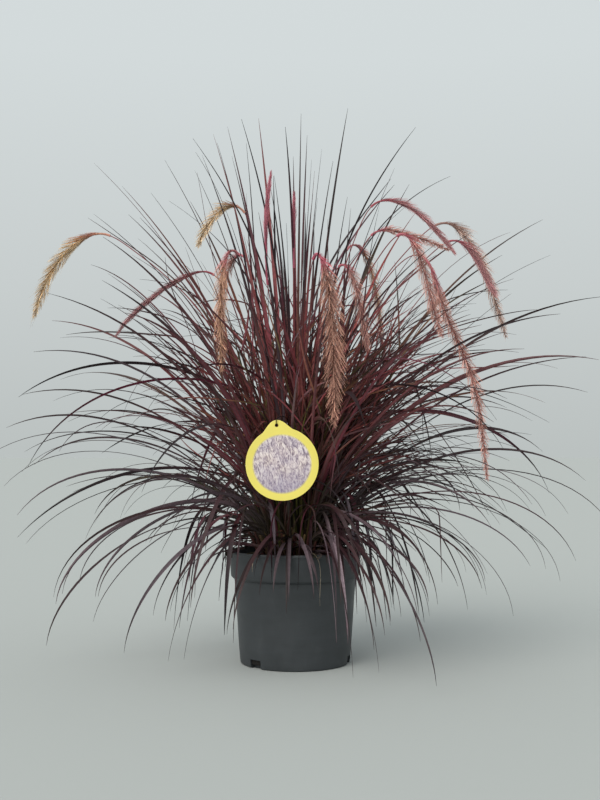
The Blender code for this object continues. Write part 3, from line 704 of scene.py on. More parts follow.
def box_corners(centre, size, azimuth):
    """Eight corners of a box whose sides run along and across an azimuth, as two rings of four."""
    out = place(azimuth, 1.0, 0.0)
    side = place(azimuth + 90, 1.0, 0.0)
    flat = [(-1, -1), (1, -1), (1, 1), (-1, 1)]
    ring = np.array([centre + out * a * size[0] / 2 + side * b * size[1] / 2 for a, b in flat])
    return np.stack([ring - (0, 0, size[2] / 2), ring + (0, 0, size[2] / 2)])


def make_pot():
    """The pot's section turned round its axis, then the drain notches and holes cut through it."""
    rim = RIM_TOP
    outside = [
        (0.0, 0.0), (0.022, 0.0), (0.025, FOOT_GROOVE), (0.063, FOOT_GROOVE), (0.066, 0.0),
        (BASE_RADIUS - 0.0025, 0.0), (BASE_RADIUS, 0.0025),
        (NECK_RADIUS, BAND_BOTTOM - 0.0012), (BAND_RADIUS - 0.0034, BAND_BOTTOM),
        (BAND_RADIUS - 0.0004, BAND_BOTTOM + 0.0028), (BAND_RADIUS, BAND_BOTTOM + 0.0075),
        (RIM_RADIUS - 0.0012, rim - 0.0055), (RIM_RADIUS, rim - 0.0036), (RIM_RADIUS - 0.0003, rim - 0.0004),
        (RIM_RADIUS - 0.0020, rim), (RIM_RADIUS - 0.0036, rim - 0.0010), (RIM_RADIUS - 0.0040, rim - 0.0060),
        (BAND_RADIUS - WALL, BAND_BOTTOM + 0.0075), (NECK_RADIUS - WALL, BAND_BOTTOM + 0.0015),
        (BASE_RADIUS - WALL, FLOOR_TOP), (0.0, FLOOR_TOP),
    ]
    profile = rounded(outside, 0.006)
    profile[0, 0] = profile[-1, 0] = 0.0002
    points = turned(profile, 180)
    pot = make_piece("nursery_pot", points.reshape(-1, 3), turned_faces(len(profile), 180), POT, sharp=30)
    bodies = []
    for k in range(NOTCH_COUNT):
        azimuth = FIRST_NOTCH + k * 360 / NOTCH_COUNT
        centre = place(azimuth, BASE_RADIUS - 0.0015, NOTCH_HEIGHT / 2 - 0.002)
        bodies.append((box_corners(centre, (0.014, NOTCH_WIDTH, NOTCH_HEIGHT + 0.004), azimuth), 4))
    for k in range(DRAIN_COUNT):
        centre = place(FIRST_NOTCH + 30 + k * 360 / DRAIN_COUNT, DRAIN_CIRCLE, 0.0)
        turn = np.linspace(0, 2 * np.pi, 24, endpoint=False)
        circle = centre + DRAIN_RADIUS * np.stack([np.cos(turn), np.sin(turn), 0 * turn], axis=-1)
        bodies.append((np.stack([circle - (0, 0, 0.002), circle + (0, 0, FLOOR_TOP + 0.002)]), 24))
    for number, (rings, sides) in enumerate(bodies):
        cutter = make_piece(f"cutter_{number}", rings.reshape(-1, 3), swept_faces(1, 2, sides), POT)
        cut = pot.modifiers.new("cut", "BOOLEAN")
        cut.object = cutter
        cut.solver = "EXACT"
    settle(pot)
    for number in range(len(bodies)):
        bpy.data.objects.remove(bpy.data.objects[f"cutter_{number}"])
    finish_piece(pot, "pot_plastic", "pot")


def settle(piece):
    """Puts the piece's modified shape into its mesh, and leaves no modifier on it."""
    graph = bpy.context.evaluated_depsgraph_get()
    mesh = bpy.data.meshes.new_from_object(piece.evaluated_get(graph))
    piece.modifiers.clear()
    piece.data = mesh
    mesh.shade_smooth()
    mesh.set_sharp_from_angle(angle=math.radians(30))


def make_mix():
    """The mix: a turned body whose top is raised and lowered by a sum of waves, z + sum of h sin(a x + b y +
    n)."""
    edge = BAND_RADIUS - WALL - 0.0006
    side = [
        (0.0002, FLOOR_TOP + 0.0003), (BASE_RADIUS - WALL - 0.0006, FLOOR_TOP + 0.0003),
        (NECK_RADIUS - WALL - 0.0006, BAND_BOTTOM + 0.0015), (edge, BAND_BOTTOM + 0.0085),
        (edge, MIX_TOP - 0.0035),
    ]
    top = [(radius, MIX_TOP - 0.0015) for radius in np.linspace(edge - 0.001, 0.0, 40)]
    profile = np.array(side + top)
    profile[-1, 0] = 0.0002
    points = turned(profile, 160)
    crust = points[len(side) :]
    waves = ((310, 170, 0.0006), (-190, 420, 0.0005), (760, 540, 0.0003), (-900, 650, 0.0003))
    for number, (along, over, size) in enumerate(waves):
        crust[..., 2] += size * np.sin(along * crust[..., 0] + over * crust[..., 1] + number)
    mix = make_piece("bark_mix", points.reshape(-1, 3), turned_faces(len(profile), 160), MIX)
    finish_piece(mix, "potting_mix", "potting_mix")
    make_crumbs(edge, np.random.default_rng(11))


def make_crumbs(edge, rng):
    """Loose bark on the mix: small lumps of four rings of six points, roughened and spun about y and then z.
    A few are pale, like perlite."""
    count = 1500
    radius = edge * np.sqrt(rng.uniform(0.16, 0.97, count))
    centres = place(rng.uniform(0, 360, count), radius, MIX_TOP - 0.0010 + rng.uniform(0, 0.0015, count))
    sizes = rng.uniform(0.0007, 0.0026, (count, 1, 1)) * rng.uniform(0.45, 1.0, (count, 1, 3))
    turn = np.linspace(0, 2 * np.pi, 6, endpoint=False)
    ring = np.stack([np.cos(turn), np.sin(turn), 0 * turn], axis=-1)
    levels = ((0.35, -0.9), (1, -0.2), (0.85, 0.5), (0.2, 0.9))
    shape = np.stack([ring * wide + (0, 0, high) for wide, high in levels])
    crumbs = shape.reshape(1, -1, 3) * rng.uniform(0.75, 1.2, (count, 24, 3)) * sizes
    spin = rng.uniform(0, 2 * np.pi, (2, count, 1))
    x, y, z = crumbs[..., 0], crumbs[..., 1], crumbs[..., 2]
    x, z = x * np.cos(spin[0]) - z * np.sin(spin[0]), x * np.sin(spin[0]) + z * np.cos(spin[0])
    x, y = x * np.cos(spin[1]) - y * np.sin(spin[1]), x * np.sin(spin[1]) + y * np.cos(spin[1])
    crumbs = np.stack([x, y, z], axis=-1) + centres[:, None]
    tone = blend_colours(linear("1E1511"), linear("5A4534"), rng.uniform(0, 1, count) ** 2)
    tone[rng.uniform(0, 1, count) > 0.975] = linear("CFC9BD")
    faces, tone = swept_faces(count, 4, 6), np.repeat(tone, 24, axis=0)
    pieces = make_piece("bark_crumbs", crumbs.reshape(-1, 3), faces, CRUMB, colours=tone)
    finish_piece(pieces, "potting_mix")


# ---------------------------------------------------------------- grass


def unhidden(paths):
    """Which blades leave the label and the broadest plume free: seen from in front of the clump, no point of
    theirs that is nearer than one of those covers it."""
    eye = np.array([0.0, -CAMERA_DISTANCE, CAMERA_HEIGHT])
    free = np.ones(len(paths), bool)
    plume = stem_route(*BROAD_PLUME)[0][-200::16]
    spots = np.vstack([np.array(LABEL_CENTRE) + (0.0, 0.006, 0.003), plume + (0.0, 0.01, 0.0)])
    sizes = np.concatenate([[LABEL_RADIUS + 0.009], np.full(len(plume), 0.013)])
    for centre, size in zip(spots, sizes):
        share = (centre[1] - eye[1]) / np.maximum(paths[..., 1] - eye[1], 0.1)
        seen = eye + (paths - eye) * share[..., None]
        off = np.hypot(seen[..., 0] - centre[0], seen[..., 2] - centre[2])
        free &= ~np.any((paths[..., 1] < centre[1]) & (off < size), axis=1)
    return free


def lead_arcs(roots, tips, steep=0.60, hang=0.75):
    """Cubic arcs like the solids': each in an upright plane, steeper than its chord at the root, and hanging
    past it at the tip. steep and hang are shares of the angle between the chord and the upright."""
    chord = tips - roots
    length = np.linalg.norm(chord, axis=1, keepdims=True)
    rise = np.degrees(np.arcsin(chord[:, 2] / length[:, 0]))
    heading = np.degrees(np.arctan2(chord[:, 1], chord[:, 0]))
    start = np.radians(rise + steep * (90 - rise))
    end = np.radians(np.maximum(rise - hang * (90 - rise), -84))
    pull_in = place(heading, np.cos(start), np.sin(start)) * 0.38 * length
    pull_out = place(heading, np.cos(end), np.sin(end)) * 0.34 * length
    t = np.linspace(0, 1, BLADE_RINGS)[None, :, None] ** 0.9
    a, b, c, d = roots[:, None], (roots + pull_in)[:, None], (tips - pull_out)[:, None], tips[:, None]
    return (1 - t) ** 3 * a + 3 * (1 - t) ** 2 * t * b + 3 * (1 - t) * t**2 * c + t**3 * d


def grown_paths(starts, heading, rise, length, fall, lateness, swing, kink_place, kink, steps):
    """Paths that grow from their starts: the slope is rise - fall s^lateness, less a kink at kink_place, the
    heading turns by swing s, both waver a little, and every point is the sum of the steps before it. s is the
    share of the path's length."""
    s = np.linspace(0, 1, steps)[None]
    kinked = kink[:, None] / (1 + np.exp(-(s - kink_place[:, None]) / 0.010))
    wave = 4.0 * np.sin(2 * np.pi * (1.3 * s + kink_place[:, None] * 7)) * s
    fallen = fall[:, None] * s ** lateness[:, None]
    slope = np.radians(np.maximum(rise[:, None] - fallen - kinked + wave, -88))
    turn = np.radians(heading[:, None] + swing[:, None] * s**1.5 + 1.5 * wave)
    ways = np.stack([np.cos(slope) * np.cos(turn), np.cos(slope) * np.sin(turn), np.sin(slope)], axis=-1)
    travel = np.cumsum((ways[:, 1:] + ways[:, :-1]) / 2, axis=1) * (length / (steps - 1))[:, None, None]
    travel = np.concatenate([np.zeros_like(travel[:, :1]), travel], axis=1)
    room = np.ones(len(starts))
    for axis in range(3):
        high = (GRASS_HIGH[axis] - starts[:, axis]) / np.maximum(travel[..., axis].max(axis=1), 1e-6)
        low = (starts[:, axis] - GRASS_LOW[axis]) / np.maximum(-travel[..., axis].min(axis=1), 1e-6)
        room = np.minimum(room, np.minimum(high, low))
    return starts[:, None] + travel * room[:, None, None], length * room


def off_the_pot(paths):
    """Moves points that are lower than the rim outwards, to just outside the pot."""
    reach = np.hypot(paths[..., 0], paths[..., 1])
    low = np.clip((RIM_TOP + 0.006 - paths[..., 2]) / 0.006, 0, 1) * (reach > CROWN_RADIUS)
    wanted = np.maximum(reach, (RIM_RADIUS + 0.004) * low)
    paths[..., :2] *= (wanted / np.maximum(reach, 1e-6))[..., None]
    return paths


def blade_tones(count, share, age, body, kinds, rng):
    """Colour along a blade, for its upper side and its under side: olive-brown at its foot, burgundy in the
    middle and dark brown-purple to the tip. Older blades are browner, and the under side is greyer. The dark
    foot is partly the blade's own colour and partly painted shade of the crowded base, mauve blades carry a
    painted sky sheen over their waxy grey, and the crease of the upper side is painted darker as shade."""
    flat = np.broadcast_to(share, (count, len(share)))
    mauve, fade = linear("6A5C63"), 1 - flat
    # The dark olive-brown foot is partly the blade's own colour and partly painted shade of the crowded base
    tone = blend_colours(linear("35301F"), linear(body), flat / 0.25 - rng.uniform(0, 0.4, (count, 1)))
    tone = blend_colours(tone, linear("2E1D1E"), (flat - 0.15) / 0.55 * rng.uniform(0.4, 1.2, (count, 1)))
    kind = rng.uniform(0, 1, (count, 1))
    is_mauve = kind < kinds[0]
    is_red = (kind > kinds[0]) & (kind < kinds[0] + kinds[1])
    is_olive = kind > 1 - kinds[2]
    # Mauve blades: the grey mauve is partly the leaf's waxy bloom and partly a painted sheen of sky light,
    # strongest mid-blade
    greyed = is_mauve * rng.uniform(0.3, 0.85, (count, 1)) * np.sin(np.pi * flat) ** 0.5
    tone = blend_colours(tone, mauve, greyed)
    tone = blend_colours(tone, linear("742A3C"), is_red * 0.75 * fade)
    tone = blend_colours(tone, linear("5A5828"), is_olive * 0.8 * fade**1.5)
    tone = blend_colours(tone, linear("543A30"), 0.6 * age[:, None] * rng.uniform(0, 1, (count, 1)) * fade)
    upper = tone * 2 ** rng.normal(0, 0.42, (count, 1, 1))
    under = blend_colours(upper, mauve, np.full((count, len(share)), 0.30))
    # The crease of the V fold on the upper side is painted 15% darker, as shade in the fold
    return np.stack([upper, upper * 0.85, upper, under], axis=2)


def strip_uv(count, share, corners):
    """Each blade gets its own upright strip: u = (number + corner's share) / count, v = share of its
    length."""
    number = np.arange(count)[:, None, None]
    u = (number + 0.1 + 0.8 * np.asarray(corners)[None, None, :]) / count
    v = np.broadcast_to(0.02 + 0.96 * share[None, :, None], (count, len(share), len(corners)))
    return np.stack(np.broadcast_arrays(u, v), axis=-1).reshape(-1, 2)


def dress_blades(paths, length, age, growth, rng):
    """Section, width, twist and colour for a set of blade paths: full width over the first part, then a long
    taper to a hair, w = W (1 - ((s - 0.35) / 0.65)^1.6)."""
    count = len(paths)
    share = np.linspace(0, 1, paths.shape[1])
    widest = rng.uniform(0.0032, 0.0060, (count, 1)) * np.clip(length[:, None] / 0.36, 0.6, 1.15)
    widest = widest * growth["broad"]
    taper = 1 - np.clip((share - 0.35) / 0.65, 0, 1) ** 1.6
    widths = widest * (0.55 + 0.45 * np.clip(share / 0.15, 0, 1)) * taper + 0.0003
    fold = 0.42 - 0.30 * np.clip(share / 0.4, 0, 1) + 0 * widest
    twist = rng.normal(0, 0.35, (count, 1)) + rng.normal(0, 1.3, (count, 1)) * share**1.5
    grid = strands(paths, across_blades(paths, twist), widths, fold, LEAF_THICKNESS)
    tone = blade_tones(count, share, age, growth["body"], growth["kinds"], rng)
    return grid, tone, strip_uv(count, share, (0.33, 0.66, 1.0, 0.0)), 4


def between(low, high, share, spread, rng):
    """Values that run from low to high with a share, and spread about that."""
    return low + (high - low) * share + rng.normal(0, spread, share.shape)


def overhanging(kind, azimuth, count, rng):
    """Arcs that start in the clump's side, near one azimuth, and end beside the pot."""
    growth = OVERHANGS[kind]
    root_turn, tip_turn = growth["turn"]
    roots = place(
        azimuth + rng.normal(0, root_turn, count),
        rng.uniform(*growth["root_reach"], count),
        rng.uniform(*growth["root_height"], count),
    )
    tips = place(
        azimuth + rng.normal(0, tip_turn, count),
        rng.uniform(*growth["tip_reach"], count),
        rng.uniform(*growth["tip_height"], count),
    )
    bends = [rng.uniform(*growth[bend], count) for bend in ("steep", "hang") if bend in growth]
    return lead_arcs(roots, tips, *bends)


def culm_leaves(stalks, azimuth, growth, rng):
    """Leaves that part from the culms at many heights, to alternate sides, the lower and older ones hanging
    most: their paths, their lengths, and how far up its culm each one starts."""
    culms, per = len(stalks), growth["leaves"]
    node = (0.22 + 0.78 * (np.arange(per) + rng.uniform(0.1, 0.9, (culms, per))) / per) * (CULM_RINGS - 1)
    step = np.minimum(node.astype(int), CULM_RINGS - 2)
    row = np.arange(culms)[:, None]
    past = (node - step)[..., None]
    starts = (stalks[row, step] * (1 - past) + stalks[row, step + 1] * past).reshape(-1, 3)
    along = unit(stalks[row, step + 1] - stalks[row, step]).reshape(-1, 3)
    level = (node / (CULM_RINGS - 1)).ravel()
    rank = rng.uniform(0, 2 * np.pi, (culms, 1)) + np.pi * np.arange(per) + rng.normal(0, 0.5, (culms, per))
    rank = rank.reshape(-1, 1)
    first = unit(np.cross(along, (0.31, 0.95, 0.0)))
    second = np.cross(along, first)
    part = np.radians(between(*growth["parting"], level, 6, rng))[:, None]
    sideways = first * np.cos(rank) + second * np.sin(rank)
    way = unit(along * np.cos(part) + sideways * np.sin(part) + place(azimuth, 0.10, 0.0))
    count = len(way)
    rise = np.degrees(np.arcsin(way[:, 2]))
    heading = np.degrees(np.arctan2(way[:, 1], way[:, 0]))
    length = rng.uniform(*growth["length"], count) * (1 - 0.35 * np.abs(level - 0.55))
    fall = np.maximum(between(*growth["fall"], level, 22, rng), 4)
    kink = np.where(rng.uniform(0, 1, count) < 0.09, rng.uniform(40, 110, count), 0.0)
    lateness, swing = rng.uniform(0.85, 1.6, count), rng.normal(0, 22, count)
    kink_place = rng.uniform(0.35, 0.7, count)
    leaves, length = grown_paths(
        starts, heading, rise, length, fall, lateness, swing, kink_place, kink, BLADE_RINGS
    )
    return leaves, length, level


def make_leaf_blades(number, ring, azimuth, tips, culms, hanging):
    """One tuft: its lead blades, the blades that follow them, those that hang beside the pot, and its upright
    culms with their leaves."""
    rng = np.random.default_rng(100 + number)
    growth = GROWTH[ring]
    foot = place(azimuth, ring, FOOT_LEVEL)
    rise_out = 0.10 + 6.0 * (ring - HEART_RING)
    top = foot + place(azimuth, SHEATH_HEIGHT * rise_out, SHEATH_HEIGHT)
    tips = np.array(tips)
    lead_roots = foot + (top - foot) * (0.25 + 0.09 * np.arange(len(tips))[:, None])
    lead = lead_arcs(lead_roots, place(tips[:, 0], tips[:, 1], tips[:, 2]))
    near = np.repeat(np.arange(len(tips)), growth["followers"])
    many = len(near)
    shorter = rng.uniform(0.70, 0.98, many)
    follow_tips = place(
        tips[near, 0] + rng.normal(0, 7, many),
        ring + (tips[near, 1] - ring) * shorter,
        np.maximum(FOOT_LEVEL + (tips[near, 2] - FOOT_LEVEL) * shorter + rng.normal(0, 0.025, many), 0.02),
    )
    follow_roots = foot + (top - foot) * rng.uniform(0.2, 1.0, (many, 1))
    steep, hang = rng.uniform(0.45, 0.80, many), rng.uniform(0.4, 1.1, many)
    followers = lead_arcs(follow_roots, follow_tips, steep, hang)
    skirt = SKIRT_COUNT if ring == OUTER_RING else 0
    drooping = [overhanging("hanging", azimuth, hanging, rng), overhanging("skirt", azimuth, skirt, rng)]
    feet = foot + place(rng.uniform(0, 360, culms), 0.011 * np.sqrt(rng.uniform(0, 1, culms)), -0.004)
    out = azimuth + rng.normal(0, growth["spread"], culms)
    lean = rng.uniform(*growth["lean"], culms)
    height = rng.uniform(*growth["culm"], culms)
    swing, still = rng.normal(0, 12, culms), np.zeros(culms)
    stalks, _ = grown_paths(
        feet, out, 90 - 0.5 * lean, height, 0.9 * lean, still + 1, swing, still, still, CULM_RINGS
    )
    leaves, length, level = culm_leaves(stalks, azimuth, growth, rng)
    paths = off_the_pot(np.concatenate([lead, followers, *drooping, leaves]))
    beside = hanging + skirt
    length = np.concatenate([np.full(len(lead) + many, 0.40), np.full(beside, 0.34), length])
    age = np.concatenate([np.zeros(len(lead) + many + beside), 1 - level])
    keep = unhidden(paths) | (np.arange(len(paths)) < len(lead))
    blades = dress_blades(paths[keep], length[keep], age[keep], growth, rng)
    piece = join_strands(f"leaf_blades_{number:02d}", [blades, dress_culms(stalks, rng)], LEAF)
    finish_piece(piece, "leaf", f"leaf_tuft_{number:02d}")


def dress_culms(stalks, rng):
    """Round stalks wrapped in leaf sheaths: olive at the foot, red-brown above, thinner towards the top."""
    count, rings, sides = len(stalks), stalks.shape[1], 6
    share = np.linspace(0, 1, rings)
    radii = rng.uniform(0.0015, 0.0025, (count, 1)) * (1 - 0.65 * share)
    grid = tubes(stalks, np.broadcast_to((0.13, 1.0, 0.0), stalks.shape), radii, sides)
    mixed = share[None] * 1.1 + rng.uniform(-0.9, 0.4, (count, 1))
    is_olive = np.where(rng.uniform(0, 1, (count, 1)) < 0.35, 1.0, 0.0)
    foot = blend_colours(linear("2E2519"), linear("5E5C2C"), is_olive)
    tone = blend_colours(foot, linear("4E2A28"), mixed)
    shaded = (0.45 + 0.55 * np.clip(share * 2, 0, 1))[None, :, None]
    tone = tone * rng.uniform(0.6, 1.15, (count, 1, 1)) * shaded
    tone = np.repeat(tone[:, :, None], sides, axis=2)
    return grid, tone, strip_uv(count, share, np.arange(sides) / sides), sides


def join_strands(name, parts, material):
    """One piece from several sets of strands. Each set gets its own share of the map's width."""
    points, faces, tones, maps, start = [], [], [], [], 0
    for number, (grid, tone, uv, sides) in enumerate(parts):
        faces += [group + start for group in swept_faces(len(grid), grid.shape[1], sides)]
        points.append(grid.reshape(-1, 3))
        tones.append(tone.reshape(-1, 3))
        maps.append(np.stack([(uv[:, 0] + number) / len(parts), uv[:, 1]], axis=-1))
        start += len(points[-1])
    return make_piece(name, np.vstack(points), faces, material, colours=np.vstack(tones), uv=np.vstack(maps))


def stem_route(foot_azimuth, plume_azimuth, plume):
    """The whole stem and plume as 400 even steps, and the number of the step where the plume starts."""
    base_reach, base_height = plume[0]
    outline = [
        (STEM_RING, FOOT_LEVEL),
        (STEM_RING + 0.12 * (base_reach - STEM_RING), FOOT_LEVEL + 0.33 * (base_height - FOOT_LEVEL)),
        (STEM_RING + 0.45 * (base_reach - STEM_RING), FOOT_LEVEL + 0.74 * (base_height - FOOT_LEVEL)),
    ]
    knots = np.array(outline + plume)
    share = np.minimum(1.0, (knots[:, 0] - STEM_RING) / (base_reach - STEM_RING))
    azimuths = foot_azimuth + share * (plume_azimuth - foot_azimuth)
    route = smooth_route(place(azimuths, knots[:, 0], knots[:, 1]), 400)
    start = int(np.argmin(np.linalg.norm(route - place(plume_azimuth, *plume[0]), axis=1)))
    return softened(route, 14), start


def softened(route, reach):
    """The route with its bends rounded: each point is a bell-weighted mean of its neighbours, less near the
    ends."""
    bell = np.exp(-0.5 * (np.arange(-2 * reach, 2 * reach + 1) / reach) ** 2)
    padded = np.pad(route, ((2 * reach, 2 * reach), (0, 0)), "edge")
    mean = np.stack([np.convolve(padded[:, axis], bell / bell.sum(), "valid") for axis in range(3)], axis=-1)
    near_end = np.minimum(np.arange(len(route)), np.arange(len(route))[::-1])
    blend = np.clip(near_end / (2 * reach), 0, 1)[:, None]
    return route + (mean - route) * blend


def make_flower_stem(number, foot_azimuth, plume_azimuth, radius, look, plume):
    """One flower stem, thinner towards its plume, with a small knot at each joint of the stem."""
    route, start = stem_route(foot_azimuth, plume_azimuth, plume)
    steps = np.linspace(0, start, 60).astype(int)
    share = np.linspace(0, 1, 60)
    knots = sum(0.0005 * np.exp(-(((share - place_on) / 0.012) ** 2)) for place_on in (0.22, 0.47, 0.70))
    radii = (0.00135 * (1 - 0.5 * share) + knots)[None]
    side = np.broadcast_to(place(plume_azimuth + 90, 1.0, 0.0), (1, 60, 3))
    grid = tubes(route[steps][None], side, radii, 8)
    tone = np.repeat(blend_colours(linear("5A5230"), linear("7E3A3E"), (share - 0.2) / 0.4), 8, axis=0)
    piece = make_piece(f"stem_{number:02d}", grid.reshape(-1, 3), swept_faces(1, 60, 8), STEM, colours=tone)
    finish_piece(piece, "flower_stem", f"flower_stem_{number:02d}")
    make_plume(number, route[start:], plume_azimuth, radius, look)


def make_plume(number, route, azimuth, radius, look):
    """A bottle brush: spikelets at golden-angle turns along the stem, each a small spindle in a spray of
    bristles that start outwards and bend towards the plume's tip. A bristle's points are start + L (way u +
    bend u^2). Some of a spray's bristles lie close together as one lock, and the others stray. They are fewer
    and thicker than real bristles, which are about 0.1 mm and wouldn't show."""
    rng = np.random.default_rng(500 + number)
    style = PLUME_LOOKS[look]
    per, rings = style["locked"] + style["loose"], 4
    count = int(np.linalg.norm(np.diff(route, axis=0), axis=1).sum() * style["packed"])
    where = (np.arange(count) + 0.5) / count
    ripe = where / style["grown"]
    index, steps = where * (len(route) - 1), np.arange(len(route))
    ahead = unit(np.gradient(route, axis=0))
    centre = np.stack([np.interp(index, steps, route[:, axis]) for axis in range(3)], axis=-1)
    along = unit(np.stack([np.interp(index, steps, ahead[:, axis]) for axis in range(3)], axis=-1))
    side = place(azimuth + 90, 1.0, 0.0)
    first = unit(side - along * np.sum(side * along, axis=1, keepdims=True))
    second = np.cross(along, first)
    swell = 0.10 + 0.90 * np.clip(ripe, 0, 1) ** 1.5 * np.clip((1 - where) / 0.35, 0, 1) ** 0.6
    stray = np.where(np.arange(per) < style["locked"], 0.12, 1.0)
    turn = (np.arange(count) * GOLDEN_ANGLE + rng.normal(0, 0.25, count))[:, None]
    turn = turn + rng.normal(0, 0.45, (count, per)) * stray
    outward = first[:, None] * np.cos(turn)[..., None] + second[:, None] * np.sin(turn)[..., None]
    opened = 7 + (style["lie"] - 7) * np.clip(ripe - 0.45, 0, 1)[:, None]
    angle = opened * rng.uniform(0.75, 1.25, (count, 1)) + rng.normal(4, 10, (count, per)) * stray
    angle = np.radians(np.clip(angle, 3, 75))
    loose = 1 + rng.uniform(-0.55, 0.30, (count, per)) * stray
    reach = radius * style["fringe"] * swell[:, None] * rng.uniform(0.8, 1.15, (count, 1)) * loose
    sprung = 0.25 + 0.75 * np.clip(ripe, 0, 1)[:, None]
    bristle = sprung * np.clip(reach / np.maximum(np.sin(angle), 0.22), 0.001, 0.034)
    u = np.linspace(0, 1, rings)[None, None, :, None]
    start = centre[:, None] + outward * 0.0007
    way = along[:, None] * np.cos(angle)[..., None] + outward * np.sin(angle)[..., None]
    bend = along[:, None] * 0.12 - outward * 0.05 + rng.normal(0, 0.05, (count, per, 3)) * stray[:, None]
    paths = start[:, :, None] + bristle[..., None, None] * (way[:, :, None] * u + bend[:, :, None] * u**2)
    paths = paths.reshape(-1, rings, 3)
    thick = np.tile(np.where(stray < 1, style["bold"] * 0.0005, 0.00018), count)[:, None]
    radii = thick * (1 - 0.7 * np.linspace(0, 1, rings))[None]
    square = side + (0.0, 0.0, 0.31)
    bristles = tubes(paths, np.broadcast_to(square, paths.shape), radii, 3)
    low, high, young = linear(style["roots"]), linear(style["ends"]), linear(style["young"])
    shade = np.repeat(2 ** rng.normal(0, 0.35, count), per)[:, None, None]
    shade = shade * rng.uniform(0.8, 1.2, (len(paths), 1, 1))
    fresh = 0.9 * np.clip((1.15 - ripe) / 0.4, 0, 1)
    tone = blend_colours(low, high, np.linspace(0.05, 1.0, rings)[None])
    tone = blend_colours(tone, young, np.repeat(fresh, per)[:, None] + np.zeros((1, rings))) * shade
    spread = np.array([0.0004, 0.0022, 0.0052]) * (0.5 + 60 * radius)
    spindles = centre[:, None] + way[:, :1] * spread[None, :, None]
    spindle_radii = np.array([0.00035, 0.00085, 0.00012]) * (0.5 + 50 * radius) * (0.4 + 0.6 * swell[:, None])
    bodies = tubes(spindles, np.broadcast_to(square, spindles.shape), spindle_radii, 4)
    body_tone = blend_colours(low, high, np.array([0.0, 0.30, 0.65])[None])
    body_tone = blend_colours(body_tone, young, fresh[:, None] + np.zeros((1, 3)))
    body_tone = body_tone * rng.uniform(0.7, 1.15, (count, 1, 1))
    core = route[np.linspace(0, len(route) - 1, 40).astype(int)][None]
    along_core = np.linspace(0, 1, 40)
    thinning = 1 - 0.7 * along_core + 0.9 * np.clip(1 - along_core / 0.25, 0, 1)
    rachis = tubes(core, np.broadcast_to(side, core.shape), (0.00075 + 0.04 * radius) * thinning[None], 6)
    rachis_tone = blend_colours(low * 0.8, young, np.linspace(1, -2, 40)[None, :, None] + np.zeros((1, 1, 6)))
    parts = [
        (bristles, np.repeat(tone[:, :, None], 3, axis=2), plume_uv(np.repeat(where, per), rings, 3), 3),
        (bodies, np.repeat(body_tone[:, :, None], 4, axis=2), plume_uv(where, 3, 4), 4),
        (rachis, rachis_tone, plume_uv(np.zeros(1), 40, 6), 6),
    ]
    finish_piece(join_strands(f"plume_{number:02d}", parts, PLUME), "plume", f"flower_plume_{number:02d}")


def plume_uv(where, rings, sides):
    """Bristles at one place along the plume share one cell of the map: u runs along the plume, v along a
    bristle."""
    u = 0.02 + 0.94 * where[:, None, None] + 0.02 * (np.arange(sides) / sides)[None, None, :]
    v = 0.02 + 0.96 * np.linspace(0, 1, rings)[None, :, None] + np.zeros((1, 1, sides))
    return np.stack(np.broadcast_arrays(u, v), axis=-1).reshape(-1, 2)


def make_crown():
    """Crowded shoot bases: short upright stubs of old sheaths, at golden-angle places over the crown."""
    rng = np.random.default_rng(31)
    count, rings, sides = 150, 6, 7
    share = np.linspace(0, 1, rings)
    number = np.arange(count)
    reach = CROWN_RADIUS * 0.97 * np.sqrt((number + 0.5) / count)
    turn = np.degrees(number * GOLDEN_ANGLE)
    feet = place(turn, reach, CROWN_LOW.z - 0.002)
    height = rng.uniform(0.018, 0.050, count)
    lean = 0.1 + 7.0 * reach * rng.uniform(0.5, 1.3, count)
    out = (lean * height)[:, None] * share**1.3
    paths = feet[:, None] + place(turn[:, None], out, height[:, None] * share)
    radii = rng.uniform(0.0016, 0.0034, (count, 1)) * (1.05 - 0.45 * share)
    grid = tubes(paths, np.broadcast_to((1.0, 0.2, 0.0), paths.shape), radii, sides)
    tone = blend_colours(linear("2E2018"), linear("8A7350"), share[None] * rng.uniform(0, 0.9, (count, 1)))
    is_wine = np.where(rng.uniform(0, 1, (count, 1)) < 0.5, 0.8, 0.0) + 0 * share[None]
    tone = blend_colours(tone, linear("4A2226"), is_wine)
    tone = np.repeat(tone[:, :, None], sides, axis=2).reshape(-1, 3)
    faces = swept_faces(count, rings, sides)
    piece = make_piece("shoot_bases", grid.reshape(-1, 3), faces, STEM, colours=tone)
    finish_piece(piece, "dry_crown", "grass_crown")


def stray_ways(kind, first_turn, rng):
    """The arcs of one kind of stray blade, at golden-angle turns all round the clump."""
    growth = STRAY_BLADES[kind]
    count = growth["count"]
    azimuth = first_turn + np.degrees(np.arange(count) * GOLDEN_ANGLE) + rng.normal(0, 9, count)
    root_height = RIM_TOP * rng.uniform(*growth["root_height"], count)
    tip_height = np.clip(root_height + RIM_TOP * rng.uniform(*growth["climb"], count), 0.03, TALLEST_STRAY)
    roots = place(azimuth, RIM_RADIUS * rng.uniform(*growth["root_reach"], count), root_height)
    tip_turn = rng.normal(0, 13, count)
    tips = place(azimuth + tip_turn, RIM_RADIUS * rng.uniform(*growth["tip_reach"], count), tip_height)
    steep, hang = rng.uniform(*growth["steep"], count), rng.uniform(*growth["hang"], count)
    tones = rng.choice(list(growth["tones"]), count, p=list(growth["tones"].values()))
    breadth = rng.uniform(*growth["breadth"], count) / 1000
    clear_from, clear_to = growth.get("clear", (0, 0))
    kept = (azimuth % 360 < clear_from) | (azimuth % 360 >= clear_to)
    return off_the_pot(lead_arcs(roots, tips, steep, hang))[kept], breadth[kept], tones[kept]


